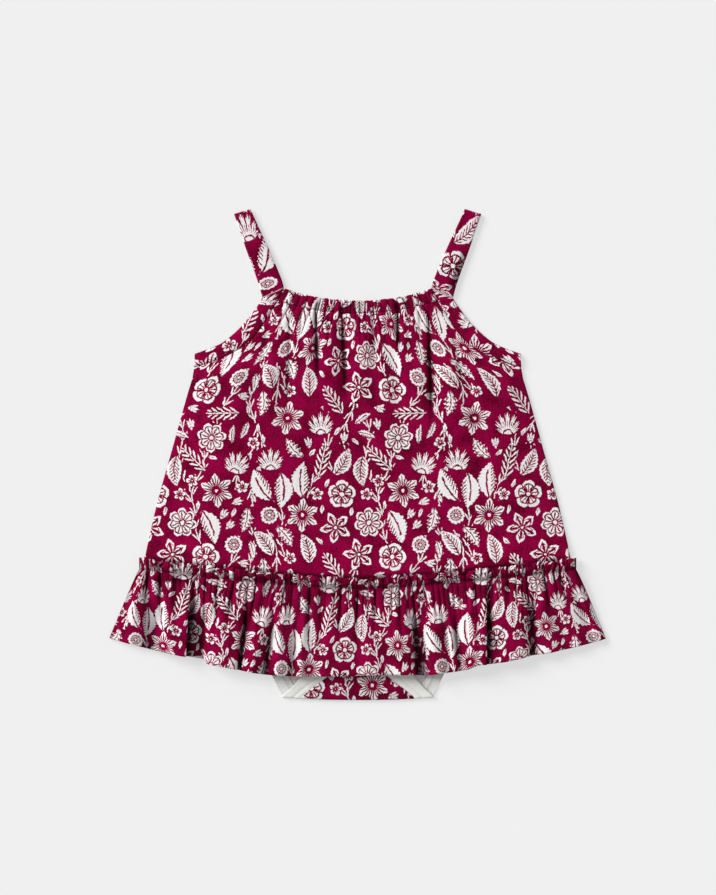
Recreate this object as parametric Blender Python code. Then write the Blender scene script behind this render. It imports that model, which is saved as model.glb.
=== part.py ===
"""A baby's bodysuit dress, laid flat on its back.

Every piece of cloth is a thin wall. Its place is worked out from the sizes below: x runs
across the garment from its centre line, "height" runs up the garment from the crotch fold,
and z is the height above the surface that the garment lies on. All of them are millimetres
here, and metres in the model.
"""

import math
from collections import namedtuple

import bmesh
import bpy
from mathutils import Vector

MM = 0.001

# Driving dimensions
LENGTH = 400.8          # crotch fold to the fold of the straps
CLOTH = 1.0             # wall of a single jersey panel
BINDING = 1.2           # wall of the folded tapes, bands and straps
CASING = 1.4            # wall of the neck casing, with its elastic
SEAM_GAP = 0.3          # between pieces that are sewn edge to edge
STRAP_FOLD = 1.5        # outer radius of the strap's fold at the shoulder
CROTCH_FOLD = 1.4       # outer radius of the crotch fold

# Levels of the undersides, from the surface up
SUIT_BACK_LEVEL = 1.3   # back of the bodysuit, on the back panel
SUIT_FRONT_LEVEL = 2.9  # front of the bodysuit, on its back
PANEL_LEVEL = 4.3       # front panel, on the bodysuit
NECK_LEVEL = 1.6        # front pieces above the bodysuit, on the back ones
EDGE_LEVEL = 1.5        # front panel where it meets the back one at the side seams
LAP_RISE = 1.3          # what lies on the head of the back ruffle is this much higher
FLAP_TOP = 5.3          # upper side of the crotch flap, where it laps the bodysuit's front
SNAP_LEVEL = 5.6        # underside of the snap caps, on the flap

# Gathers and ruffle
NECK_GATHERS = 28
PANEL_GATHERS = 13
RUFFLE_GATHERS = 40
COLUMNS_PER_GATHER = 4
NECK_GATHER_DEPTH = 0.9
PANEL_GATHER_DEPTH = 1.3
BACK_HEM_SHORTER = 1.5  # the back ruffle ends this much above the front one

# Crotch
SNAP_COUNT = 3
SNAP_SPACING = 20.0
SNAP_HEIGHT = 52.0
SNAP_RADIUS = 4.5
SNAP_THICKNESS = 1.2
CROTCH_HALF_WIDTH = 61.8
CROTCH_CORNER_LIFT = 1.8

NECK_BOW = 2.2          # power of the neckline's curve
BACK_NECK_COLUMNS = 14  # columns of the back panel and of the casing above it

GROUND_RED = "960A41"
BINDING_WHITE = "E9EAE8"
SNAP_WHITE = "F2F2F0"

ArmholeRow = namedtuple("ArmholeRow", "inner_x inner_height outer_x outer_height centre_height")
PanelRow = namedtuple("PanelRow", "edge_x edge_height centre_height bow gather")
Fold = namedtuple("Fold", "top_x top_height foot_x foot_height width depth")
RuffleRow = namedtuple(
    "RuffleRow", "edge_x edge_height centre_height bow level edge_level gather ridge frill"
)
Ridge = namedtuple("Ridge", "top_x hem_x half_width height")
StrapRow = namedtuple("StrapRow", "inner_x inner_height outer_x outer_height")
SuitRow = namedtuple("SuitRow", "height half_width")
LegRow = namedtuple("LegRow", "travel inner_x outer_x")

# The armhole band, from the foot of the strap to the side seam. Its inner edge is also the
# upper edge of the panels, whose rows reach centre_height on the centre line.
ARMHOLE_ROWS = (
    ArmholeRow(60.0, 335.9, 77.7, 328.3, 326.0),
    ArmholeRow(65.1, 326.1, 78.8, 326.2, 315.7),
    ArmholeRow(69.0, 319.6, 81.0, 322.8, 309.5),
    ArmholeRow(73.4, 312.4, 83.6, 319.0, 303.0),
    ArmholeRow(78.6, 304.2, 88.6, 312.4, 296.0),
    ArmholeRow(85.2, 295.6, 94.4, 305.6, 289.0),
    ArmholeRow(94.0, 288.0, 101.4, 298.8, 282.5),
    ArmholeRow(106.0, 281.2, 111.2, 291.2, 276.0),
    ArmholeRow(119.5, 275.8, 122.2, 286.4, 270.0),
    ArmholeRow(133.4, 271.4, 132.9, 282.6, 264.0),
)

# How strongly the neck gathers show in the panel's rows beside the armhole band
ARMHOLE_GATHERS = (1.0, 1.0, 0.85, 0.65, 0.45, 0.3, 0.2, 0.1, 0.0)

# The panels below the armholes: side seam to side seam, down to the edge under the ruffle
SIDE_ROWS = (
    PanelRow(135.0, 262.0, 253.5, 2.0, 0.0),
    PanelRow(138.0, 252.5, 243.0, 2.0, 0.0),
    PanelRow(142.6, 236.5, 226.0, 2.0, 0.0),
    PanelRow(147.6, 218.5, 207.5, 2.0, 0.0),
    PanelRow(153.4, 197.5, 186.0, 2.0, 0.0),
    PanelRow(159.0, 178.0, 166.0, 1.9, 0.0),
    PanelRow(164.6, 157.0, 145.0, 1.8, 0.0),
    PanelRow(169.2, 137.0, 125.5, 1.6, 0.0),
    PanelRow(171.2, 128.4, 116.0, 1.5, 0.0),
    PanelRow(172.8, 119.8, 107.0, 1.4, 0.0),
    PanelRow(174.8, 109.5, 96.0, 1.35, 0.0),
    PanelRow(175.4, 101.7, 85.8, 1.35, 0.0),
)

# Troughs between the soft folds that fall from the neck gathers
PANEL_FOLDS = (
    Fold(-34.0, 327.0, -33.0, 250.0, 4.5, 1.0),
    Fold(-12.0, 318.0, -14.0, 212.0, 7.0, 0.75),
    Fold(-57.0, 322.0, -67.0, 185.0, 8.0, 0.75),
    Fold(-80.0, 300.0, -101.0, 150.0, 10.0, 0.6),
    Fold(11.0, 318.0, 14.0, 228.0, 6.0, 0.6),
    Fold(33.0, 320.0, 33.0, 284.0, 4.0, 0.8),
    Fold(28.0, 282.0, 35.0, 190.0, 8.0, 0.5),
    Fold(59.0, 324.0, 63.0, 192.0, 7.0, 0.8),
    Fold(82.0, 302.0, 102.0, 168.0, 10.0, 0.6),
    Fold(-110.0, 262.0, -128.0, 150.0, 12.0, 0.5),
    Fold(112.0, 262.0, 130.0, 150.0, 12.0, 0.5),
    Fold(0.0, 205.0, 2.0, 130.0, 13.0, 0.4),
    Fold(-40.0, 205.0, -47.0, 130.0, 12.0, 0.4),
    Fold(49.0, 195.0, 58.0, 130.0, 12.0, 0.4),
)

# The ruffle is one strip, gathered on a stitch line a little below its top edge, so that its
# head stands as a frill. Rows run from the head's edge to the hem.
RUFFLE_ROWS = (
    RuffleRow(178.4, 116.5, 99.8, 1.35, 7.4, 4.6, 1.5, 0.0, 0.8),
    RuffleRow(178.0, 111.6, 95.2, 1.35, 7.1, 4.3, 0.9, 0.0, 0.2),
    RuffleRow(178.0, 106.7, 90.8, 1.35, 7.0, 4.2, 0.3, 0.0, 0.0),
    RuffleRow(182.0, 101.0, 84.5, 1.38, 7.0, 4.0, 1.2, 0.1, 0.0),
    RuffleRow(187.6, 92.5, 74.5, 1.42, 7.1, 3.2, 1.0, 0.35, 0.0),
    RuffleRow(193.6, 78.8, 60.5, 1.5, 7.1, 2.3, 0.55, 0.7, 0.0),
    RuffleRow(198.2, 67.0, 45.5, 1.6, 7.1, 1.8, 0.2, 0.95, 0.0),
    RuffleRow(201.0, 57.2, 31.5, 1.7, 6.6, 1.5, 0.0, 1.0, 0.0),
    RuffleRow(202.5, 48.7, 19.4, 1.8, 5.6, 1.4, 0.0, 1.0, 0.0),
)
STITCH_ROW = 2

# Ridges of the front ruffle, from left to right
RUFFLE_RIDGES = (
    Ridge(-172.0, -193.5, 9.5, 3.0),
    Ridge(-168.0, -176.5, 8.5, 3.5),
    Ridge(-148.0, -152.0, 15.5, 5.5),
    Ridge(-118.0, -110.5, 13.5, 6.0),
    Ridge(-99.0, -82.5, 10.0, 5.0),
    Ridge(-79.0, -65.0, 8.5, 4.0),
    Ridge(-62.0, -47.5, 9.0, 4.5),
    Ridge(-43.0, -29.0, 10.0, 4.0),
    Ridge(-22.5, -10.5, 10.0, 4.0),
    Ridge(-4.0, 9.0, 10.0, 4.5),
    Ridge(21.0, 28.5, 10.0, 4.0),
    Ridge(36.0, 42.5, 7.0, 3.0),
    Ridge(55.0, 65.5, 12.0, 5.0),
    Ridge(75.0, 83.5, 9.0, 5.5),
    Ridge(98.0, 104.5, 12.0, 5.0),
    Ridge(116.0, 124.0, 9.0, 4.0),
    Ridge(130.0, 138.5, 7.5, 3.5),
    Ridge(145.0, 157.5, 12.0, 4.5),
    Ridge(158.0, 179.0, 10.5, 4.0),
    Ridge(169.0, 195.5, 8.0, 3.0),
)

# The strap, from the neck casing to its fold at the shoulder
STRAP_ROWS = (
    StrapRow(60.2, 336.4, 77.9, 328.8),
    StrapRow(61.7, 342.2, 80.1, 337.2),
    StrapRow(66.2, 353.5, 83.6, 347.4),
    StrapRow(72.4, 368.0, 89.0, 362.0),
    StrapRow(79.4, 383.0, 94.4, 377.6),
    StrapRow(86.9, 399.36, 100.4, 395.26),
)
STRAP_FOLD_STEPS = 6

# The bodysuit's front, from under the armholes to the crotch flap, which laps it
SUIT_FRONT_ROWS = (
    SuitRow(258.0, 123.0),
    SuitRow(235.0, 118.0),
    SuitRow(205.0, 116.0),
    SuitRow(170.0, 115.5),
    SuitRow(135.0, 115.0),
    SuitRow(126.0, 115.0),
    SuitRow(118.0, 114.8),
    SuitRow(110.0, 114.5),
    SuitRow(98.0, 107.0),
    SuitRow(88.0, 93.0),
    SuitRow(77.0, 76.0),
    SuitRow(66.0, 56.0),
    SuitRow(54.0, 38.0),
    SuitRow(46.0, 32.0),
    SuitRow(38.0, 30.0),
)


def on_back(height):
    """Travel along the bodysuit's back at this height, negative above the crotch fold."""
    return CROTCH_FOLD - height


def in_fold(share):
    """Travel at this share of the way round the crotch fold."""
    return share * math.pi * CROTCH_FOLD


def on_flap(height):
    """Travel along the flap at this height, once past the crotch fold."""
    return math.pi * CROTCH_FOLD + height - CROTCH_FOLD


# The bodysuit's back above the leg openings
SUIT_BACK_ROWS = (
    SuitRow(258.0, 123.0),
    SuitRow(235.0, 118.0),
    SuitRow(205.0, 116.0),
    SuitRow(170.0, 115.5),
    SuitRow(135.0, 115.0),
    SuitRow(126.0, 115.0),
    SuitRow(118.0, 114.8),
    SuitRow(110.0, 114.5),
    SuitRow(104.6, 114.5),
)

# The leg binding, from the side seam down the back, round the crotch fold and up the flap.
# Its inner edge is also the edge of the bodysuit's back.
LEG_ROWS = (
    LegRow(on_back(103.4), 103.6, 114.5),
    LegRow(on_back(90.0), 96.5, 109.3),
    LegRow(on_back(75.0), 87.0, 101.0),
    LegRow(on_back(60.0), 77.0, 92.0),
    LegRow(on_back(44.0), 67.5, 82.5),
    LegRow(on_back(30.0), 60.5, 75.2),
    LegRow(on_back(19.4), 56.3, 70.2),
    LegRow(on_back(8.0), 50.0, 65.0),
    LegRow(on_back(1.4), 45.9, CROTCH_HALF_WIDTH),
    LegRow(in_fold(0.25), 45.8, CROTCH_HALF_WIDTH),
    LegRow(in_fold(0.5), 45.7, CROTCH_HALF_WIDTH),
    LegRow(in_fold(0.75), 45.7, CROTCH_HALF_WIDTH),
    LegRow(on_flap(1.4), 45.6, 61.6),
    LegRow(on_flap(8.0), 38.5, 55.3),
    LegRow(on_flap(14.0), 31.0, 50.2),
    LegRow(on_flap(19.4), 24.2, 46.0),
    LegRow(on_flap(26.0), 19.6, 41.0),
    LegRow(on_flap(32.0), 17.2, 37.0),
    LegRow(on_flap(42.0), 15.4, 32.5),
    LegRow(on_flap(62.0), 15.0, 30.0),
)


def smooth_step(low, high, value):
    """0 below low, 1 above high and a soft ramp between them."""
    share = min(1.0, max(0.0, (value - low) / (high - low)))
    return share * share * (3.0 - 2.0 * share)


def point(x, height, z):
    """A place in the model, in metres, with the origin at the middle of the garment's box."""
    return Vector((x, height - LENGTH / 2.0, z)) * MM


def gather_wave(share, count):
    """A wave from 0 to 1 that repeats about count times while share goes from 0 to 1."""
    turns = count * share + 0.16 * math.sin(31.0 * share) + 0.1 * math.sin(57.0 * share + 1.0)
    depth = 0.85 + 0.15 * math.sin(43.0 * share + 2.0)
    return depth * (0.5 - 0.5 * math.cos(2.0 * math.pi * turns))


def row_height(row, side):
    """Height along a bowed row, where side goes from -1 to 1 across the garment."""
    rise = row.edge_height - row.centre_height
    return row.centre_height + rise * abs(side) ** row.bow


def stitch_height(x):
    """Height of the line where the ruffle is stitched to the panel."""
    row = RUFFLE_ROWS[STITCH_ROW]
    return row_height(row, min(1.0, abs(x) / row.edge_x))


def lap(x, height):
    """1 where the head of the back ruffle lies under the other layers, above the stitching."""
    return 1.0 - smooth_step(18.0, 32.0, height - stitch_height(x))


def suit_half_width(height):
    """Half the width of the bodysuit at this height, or at its top above that."""
    rows = SUIT_BACK_ROWS
    if height >= rows[0].height:
        return rows[0].half_width
    for upper, lower in zip(rows, rows[1:]):
        if height >= lower.height:
            share = (height - lower.height) / (upper.height - lower.height)
            return lower.half_width + share * (upper.half_width - lower.half_width)
    return rows[-1].half_width


def suit_rise(x, height):
    """How far the bodysuit is lifted by the seam of the back ruffle beneath it."""
    below = stitch_height(x) - height
    return LAP_RISE * lap(x, height) * (1.0 - smooth_step(8.0, 24.0, below))


def clear_scene():
    for item in list(bpy.data.objects):
        bpy.data.objects.remove(item, do_unlink=True)


def linear_colour(hex_value):
    """An sRGB hex colour as linear red, green, blue and alpha."""
    channels = []
    for start in (0, 2, 4):
        value = int(hex_value[start:start + 2], 16) / 255.0
        if value <= 0.04045:
            channels.append(value / 12.92)
        else:
            channels.append(((value + 0.055) / 1.055) ** 2.4)
    return (*channels, 1.0)


def finish_object(name, bm, hex_value, roughness):
    """Make the named object, with its own material, from a closed mesh."""
    if bm.calc_volume(signed=True) < 0.0:
        bmesh.ops.reverse_faces(bm, faces=bm.faces[:])
    mesh = bpy.data.meshes.new(name)
    bm.to_mesh(mesh)
    bm.free()
    mesh.shade_smooth()
    mesh.set_sharp_from_angle(angle=math.radians(40.0))
    material = bpy.data.materials.new(name + "_material")
    material.use_nodes = True
    shader = material.node_tree.nodes["Principled BSDF"]
    shader.inputs["Base Color"].default_value = linear_colour(hex_value)
    shader.inputs["Roughness"].default_value = roughness
    shader.inputs["Metallic"].default_value = 0.0
    mesh.materials.append(material)
    made = bpy.data.objects.new(name, mesh)
    bpy.context.scene.collection.objects.link(made)
    return made


def cloth_wall(name, columns, rows, place, thickness, hex_value=GROUND_RED):
    """A sheet of cloth: a grid whose points go to place(column, row), then given a wall.

    The wall grows to the side that the grid faces: upwards from an underside, or inwards
    from the outer side of a folded piece.
    """
    bm = bmesh.new()
    bmesh.ops.create_grid(bm, x_segments=columns, y_segments=rows, size=0.5)
    for vert in bm.verts:
        column = round((vert.co.x + 0.5) * columns)
        row = round((0.5 - vert.co.y) * rows)
        vert.co = place(column, row)
    bm.normal_update()
    bmesh.ops.solidify(bm, geom=bm.faces[:], thickness=-thickness * MM)
    return finish_object(name, bm, hex_value, 0.85)


def panel_rows():
    """Rows of the front and back panels, just inside the armhole bands and side seams."""
    rows = []
    for source, gather in zip(ARMHOLE_ROWS[1:], ARMHOLE_GATHERS):
        rows.append(PanelRow(
            source.inner_x - SEAM_GAP,
            source.inner_height - SEAM_GAP,
            source.centre_height - SEAM_GAP,
            2.0 if rows else NECK_BOW,
            gather,
        ))
    return rows + list(SIDE_ROWS)


def fold_depth(fold, x, height):
    """How much of a trough lies at this place, from 0 to its own depth."""
    share = (fold.top_height - height) / (fold.top_height - fold.foot_height)
    if share < -0.15 or share > 1.0:
        return 0.0
    centre = fold.top_x + (fold.foot_x - fold.top_x) * share
    width = fold.width * (0.75 + 0.5 * max(0.0, share))
    fade = smooth_step(-0.15, 0.05, share) * (1.0 - smooth_step(0.45, 1.0, share))
    return fold.depth * fade * math.exp(-((x - centre) / width) ** 2)


def panel_relief(x, height, edge_x):
    """Height of the soft folds of the front panel above its own level."""
    mound = 0.7 + 2.1 * smooth_step(318.0, 285.0, height)
    mound *= 0.2 + 0.8 * smooth_step(150.0, 235.0, height)
    mound *= smooth_step(128.0, 165.0, height)
    mound *= smooth_step(0.0, 45.0, edge_x - abs(x))
    for fold in PANEL_FOLDS:
        mound *= 1.0 - fold_depth(fold, x, height)
    return mound


def front_level(x, height, edge_x):
    """Underside of the front panel: on the bodysuit, and down to the back at the sides."""
    middle = NECK_LEVEL + (PANEL_LEVEL - NECK_LEVEL) * smooth_step(288.0, 266.0, height)
    edge = NECK_LEVEL + (EDGE_LEVEL - NECK_LEVEL) * smooth_step(288.0, 266.0, height)
    room = max(8.0 + 20.0 * smooth_step(259.0, 272.0, height), edge_x - suit_half_width(height))
    share = smooth_step(0.0, room, edge_x - abs(x))
    return edge + (middle - edge) * share + LAP_RISE * lap(x, height)


def make_front_panel():
    rows = panel_rows()
    columns = PANEL_GATHERS * COLUMNS_PER_GATHER

    def place(column, index):
        row = rows[index]
        side = 2.0 * column / columns - 1.0
        x = row.edge_x * side
        height = row_height(row, side)
        gather = PANEL_GATHER_DEPTH * row.gather * gather_wave(column / columns, PANEL_GATHERS)
        gather *= smooth_step(2.0, 12.0, row.edge_x - abs(x))
        z = front_level(x, height, row.edge_x) + panel_relief(x, height, row.edge_x) + gather
        return point(x, height, z)

    return cloth_wall("front_panel", columns, len(rows) - 1, place, CLOTH)


def make_back_panel():
    rows = panel_rows()
    columns = BACK_NECK_COLUMNS

    def place(column, index):
        row = rows[index]
        side = 2.0 * column / columns - 1.0
        x = row.edge_x * side
        height = row_height(row, side)
        return point(x, height, LAP_RISE * lap(x, height))

    return cloth_wall("back_panel", columns, len(rows) - 1, place, CLOTH)


def neck_casing_point(side, down, z):
    """A place on a neck casing, where down goes from 0 at the top edge to 1 at the seam."""
    top = ARMHOLE_ROWS[0]
    seam = ARMHOLE_ROWS[1]
    edge_x = top.inner_x + down * (seam.inner_x - top.inner_x) - SEAM_GAP
    edge_height = top.inner_height + down * (seam.inner_height - top.inner_height)
    centre_height = top.centre_height + down * (seam.centre_height - top.centre_height)
    height = centre_height + (edge_height - centre_height) * abs(side) ** NECK_BOW
    return point(edge_x * side, height, z)


def make_neck_casing_front():
    columns = NECK_GATHERS * COLUMNS_PER_GATHER

    def place(column, index):
        side = 2.0 * column / columns - 1.0
        wave = gather_wave(column / columns, NECK_GATHERS)
        z = NECK_LEVEL + 0.2 + NECK_GATHER_DEPTH * wave * (1.0 - abs(side) ** 8)
        down = index / 2.0
        if index == 0:
            down += 0.04 * (1.0 - wave)
        return neck_casing_point(side, down, z)

    return cloth_wall("neck_casing_front", columns, 2, place, CASING)


def make_neck_casing_back():
    columns = BACK_NECK_COLUMNS

    def place(column, index):
        return neck_casing_point(2.0 * column / columns - 1.0, float(index), 0.0)

    return cloth_wall("neck_casing_back", columns, 1, place, CASING)


def mirrored(column, columns, side):
    """Column counted from the centre line outwards, on the right (1) or the left (-1)."""
    return column if side > 0 else columns - column


def make_armhole_band(layer, hand, side):
    columns = 2
    level = NECK_LEVEL if layer == "front" else 0.0

    def place(column, index):
        row = ARMHOLE_ROWS[index]
        share = mirrored(column, columns, side) / columns
        x = row.inner_x + share * (row.outer_x - row.inner_x)
        height = row.inner_height + share * (row.outer_height - row.inner_height)
        return point(side * x, height, level)

    name = f"armhole_band_{layer}_{hand}"
    return cloth_wall(name, columns, len(ARMHOLE_ROWS) - 1, place, BINDING)


def make_strap(hand, side):
    """One strip, from the front up to the shoulder, over its fold and down the back."""
    columns = 2
    flat_rows = len(STRAP_ROWS) - 1
    rows = 2 * flat_rows + STRAP_FOLD_STEPS
    last = STRAP_ROWS[-1]
    fold_line = Vector((last.outer_x - last.inner_x, last.outer_height - last.inner_height))
    along = Vector((-fold_line.y, fold_line.x)).normalized()

    def place(column, index):
        share = mirrored(column, columns, side) / columns
        if index <= flat_rows:
            row = STRAP_ROWS[index]
            angle = 0.0
        elif index < flat_rows + STRAP_FOLD_STEPS:
            row = last
            angle = math.pi * (index - flat_rows) / STRAP_FOLD_STEPS
        else:
            row = STRAP_ROWS[rows - index]
            angle = math.pi
        x = row.inner_x + share * (row.outer_x - row.inner_x)
        height = row.inner_height + share * (row.outer_height - row.inner_height)
        reach = STRAP_FOLD * math.sin(angle)
        z = STRAP_FOLD * (1.0 + math.cos(angle))
        return point(side * (x + reach * along.x), height + reach * along.y, z)

    return cloth_wall(f"strap_{hand}", columns, rows, place, BINDING)


def ridge_height(row, x):
    """Height of the ruffle's ridges at x, in a row where they have grown to row.ridge."""
    height = 0.0
    for ridge in RUFFLE_RIDGES:
        centre = ridge.top_x + row.ridge * (ridge.hem_x - ridge.top_x)
        reach = abs(x - centre) / (ridge.half_width * (0.7 + 0.3 * row.ridge))
        if reach < 1.0:
            height += ridge.height * row.ridge * math.cos(0.5 * math.pi * reach) ** 2
    return height


def make_ruffle_front():
    columns = RUFFLE_GATHERS * COLUMNS_PER_GATHER

    def place(column, index):
        row = RUFFLE_ROWS[index]
        side = 2.0 * column / columns - 1.0
        x = row.edge_x * side
        wave = gather_wave(column / columns, RUFFLE_GATHERS)
        height = row_height(row, side) + row.frill * (wave - 0.5)
        share = smooth_step(0.0, row.edge_x - suit_half_width(height), row.edge_x - abs(x))
        level = row.edge_level + (row.level - row.edge_level) * share
        inner = smooth_step(0.0, 7.0, row.edge_x - abs(x))
        z = level + inner * (row.gather * wave + ridge_height(row, x))
        return point(x, height, z)

    return cloth_wall("ruffle_front", columns, len(RUFFLE_ROWS) - 1, place, CLOTH)


def make_ruffle_back():
    rows = [RUFFLE_ROWS[0], RUFFLE_ROWS[STITCH_ROW], RUFFLE_ROWS[5], RUFFLE_ROWS[-1]]
    columns = 24

    def place(column, index):
        row = rows[index]
        side = 2.0 * column / columns - 1.0
        height = row_height(row, side)
        if index == len(rows) - 1:
            height += BACK_HEM_SHORTER
        return point(row.edge_x * side, height, 0.0)

    return cloth_wall("ruffle_back", columns, len(rows) - 1, place, CLOTH)


def suit_point(x, travel):
    """A place on the outer side of the bodysuit's back, its crotch fold or its flap."""
    turn = math.pi * CROTCH_FOLD
    if travel <= 0.0:
        height = CROTCH_FOLD - travel
        z = SUIT_BACK_LEVEL * smooth_step(7.0, 17.0, height) + suit_rise(x, height)
    elif travel < turn:
        height = CROTCH_FOLD * (1.0 - math.sin(travel / CROTCH_FOLD))
        z = CROTCH_FOLD * (1.0 - math.cos(travel / CROTCH_FOLD))
    else:
        height = CROTCH_FOLD + travel - turn
        fold_top = 2.0 * CROTCH_FOLD
        z = fold_top + (FLAP_TOP - fold_top) * smooth_step(4.0, 32.0, height)
    lift = CROTCH_CORNER_LIFT * (x / CROTCH_HALF_WIDTH) ** 2 * max(0.0, 1.0 - height / 40.0)
    return point(x, height + lift, z)


def make_bodysuit_back():
    """The bodysuit's back, whose lower end folds up over the crotch as a flap."""
    rows = [(on_back(row.height), row.half_width) for row in SUIT_BACK_ROWS]
    rows += [(row.travel, row.inner_x - SEAM_GAP) for row in LEG_ROWS]
    columns = 8

    def place(column, index):
        travel, half_width = rows[index]
        return suit_point(half_width * (2.0 * column / columns - 1.0), travel)

    return cloth_wall("bodysuit_back", columns, len(rows) - 1, place, CLOTH)


def make_bodysuit_front():
    columns = 8

    def place(column, index):
        row = SUIT_FRONT_ROWS[index]
        x = row.half_width * (2.0 * column / columns - 1.0)
        return point(x, row.height, SUIT_FRONT_LEVEL + suit_rise(x, row.height))

    return cloth_wall("bodysuit_front", columns, len(SUIT_FRONT_ROWS) - 1, place, CLOTH)


def make_leg_binding(hand, side):
    columns = 1

    def place(column, index):
        row = LEG_ROWS[index]
        outer = mirrored(column, columns, side) == columns
        return suit_point(side * (row.outer_x if outer else row.inner_x), row.travel)

    name = f"leg_binding_{hand}"
    return cloth_wall(name, columns, len(LEG_ROWS) - 1, place, BINDING, BINDING_WHITE)


def make_snap(number):
    """One snap cap on the crotch flap, under the ruffle."""
    bm = bmesh.new()
    bmesh.ops.create_cone(
        bm,
        cap_ends=True,
        segments=16,
        radius1=SNAP_RADIUS * MM,
        radius2=0.85 * SNAP_RADIUS * MM,
        depth=SNAP_THICKNESS * MM,
    )
    x = SNAP_SPACING * (number - (SNAP_COUNT + 1) / 2.0)
    centre = point(x, SNAP_HEIGHT, SNAP_LEVEL + SNAP_THICKNESS / 2.0)
    bmesh.ops.translate(bm, verts=bm.verts[:], vec=centre)
    return finish_object(f"snap_{number}", bm, SNAP_WHITE, 0.4)


def main():
    clear_scene()
    make_back_panel()
    make_ruffle_back()
    make_neck_casing_back()
    make_bodysuit_back()
    make_bodysuit_front()
    make_front_panel()
    make_ruffle_front()
    make_neck_casing_front()
    for hand, side in (("left", -1), ("right", 1)):
        make_strap(hand, side)
        make_leg_binding(hand, side)
        for layer in ("front", "back"):
            make_armhole_band(layer, hand, side)
    for number in range(1, SNAP_COUNT + 1):
        make_snap(number)


main()
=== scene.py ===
"""Looks of the baby's bodysuit dress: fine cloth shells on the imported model's forms.

x runs across the garment from its centre line, "height" runs up it from the crotch fold, and
z is the height above the surface that it lies on. The tables hold millimetres; the model is
in metres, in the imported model's frame.
"""

import math
import random
from bisect import bisect_right
from collections import namedtuple
from functools import partial

import bmesh
import bpy
import numpy
from mathutils import Matrix, Vector


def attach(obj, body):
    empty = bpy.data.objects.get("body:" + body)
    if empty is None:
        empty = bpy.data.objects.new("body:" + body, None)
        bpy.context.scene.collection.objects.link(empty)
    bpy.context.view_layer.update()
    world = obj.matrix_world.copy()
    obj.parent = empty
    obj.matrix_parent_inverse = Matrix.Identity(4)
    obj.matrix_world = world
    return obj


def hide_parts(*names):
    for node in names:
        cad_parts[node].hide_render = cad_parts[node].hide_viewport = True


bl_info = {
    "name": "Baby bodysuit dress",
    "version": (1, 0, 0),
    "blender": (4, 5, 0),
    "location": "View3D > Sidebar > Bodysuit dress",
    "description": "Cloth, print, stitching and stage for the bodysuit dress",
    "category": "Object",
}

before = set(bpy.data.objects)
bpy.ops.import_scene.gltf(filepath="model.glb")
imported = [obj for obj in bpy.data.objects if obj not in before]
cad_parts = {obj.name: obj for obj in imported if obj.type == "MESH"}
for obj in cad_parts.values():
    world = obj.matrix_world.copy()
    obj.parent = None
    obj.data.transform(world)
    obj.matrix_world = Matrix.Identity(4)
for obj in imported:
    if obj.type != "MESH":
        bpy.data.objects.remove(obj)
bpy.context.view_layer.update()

MM = 0.001
BODY = "root"

LAYERS = ("back", "front")
HANDS = (("left", -1), ("right", 1))
TURN = 2.0 * math.pi
WHITE = (1.0, 1.0, 1.0, 1.0)

# Stage, in metres: an even sky, a soft key light from the upper left, a floor of backlit
# acrylic, which keeps the shadows on it faint, and a long lens straight above the garment
SKY_STRENGTH = 0.42
KEY_STRENGTH = 3.42
KEY_ANGLE = math.radians(30.0)
KEY_PLACE = (-1.42, 0.95, 0.95)
FLOOR_GLOW = 0.557
FLOOR_REACH = 20.0
FLOOR_DEPTH = 0.0004
LENS = 100.0
CAMERA_PLACE = (0.00024, 0.0057)

# Painted shade in the hollows between folds: how far around a point they are looked for, with
# each one's weight, and the depth that counts as deep, which gets the full painted shade
HOLLOW_REACHES = ((2.5, 1.0), (7.0, 0.8), (14.0, 0.45))
HOLLOW_DEPTH = 3.2

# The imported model's own sizes and levels
LENGTH = 400.8          # crotch fold to the fold of the straps
CLOTH = 1.0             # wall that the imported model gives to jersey
STRAP_FOLD = 1.5
CROTCH_FOLD = 1.4
SUIT_FRONT_LEVEL = 2.9
SUIT_BACK_LEVEL = 1.3
PANEL_LEVEL = 4.3
NECK_LEVEL = 1.6
EDGE_LEVEL = 1.5
LAP_RISE = 1.3
FLAP_TOP = 5.3
SNAP_LEVEL = 5.6
SNAP_WALL = 0.8
CROTCH_HALF_WIDTH = 61.8
CROTCH_CORNER_LIFT = 1.8
CREASE_WIDTH = 0.62     # share of the width in the table that a crease keeps
CREASE_REACH = 314.0    # creases that start above this height run up into the neck casing as painted shade
NECK_BOW = 2.2
NECK_GATHER = 1.42      # width of the cloth for each millimetre of the gathered seam
RUFFLE_GATHER = 1.12    # length of the cloth for each millimetre along the ruffle's folds
RISE_SCALE = 1.15       # share of the rise in the table that the ruffle gets
FLARE = 0.92            # how soon the ruffle widens, where 1 is evenly
SKIRT_CUT = 76.0        # cut lengths: the ruffle below its seam, and a neck casing as it shows
CASING_CUT = 10.3
TAPE_WIDTH = 15.0       # the leg bindings' tape, which is longer along its outer edge
TAPE_EASE = 1.12

ArmholeRow = namedtuple("ArmholeRow", "inner_x inner_height outer_x outer_height centre_height")
PanelRow = namedtuple("PanelRow", "edge_x edge_height centre_height bow")
Fold = namedtuple("Fold", "top_x top_height foot_x foot_height width depth")
HeadRow = namedtuple("HeadRow", "edge_x edge_height centre_height")
HemPoint = namedtuple("HemPoint", "head_x hem_x hem_height rise")
StrapRow = namedtuple("StrapRow", "inner_x inner_height outer_x outer_height")
SuitRow = namedtuple("SuitRow", "height half_width")
LegRow = namedtuple("LegRow", "travel inner_x outer_x")


def table(kind, *rows):
    """A short table, with named columns."""
    return tuple(kind(*row) for row in rows)


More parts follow.
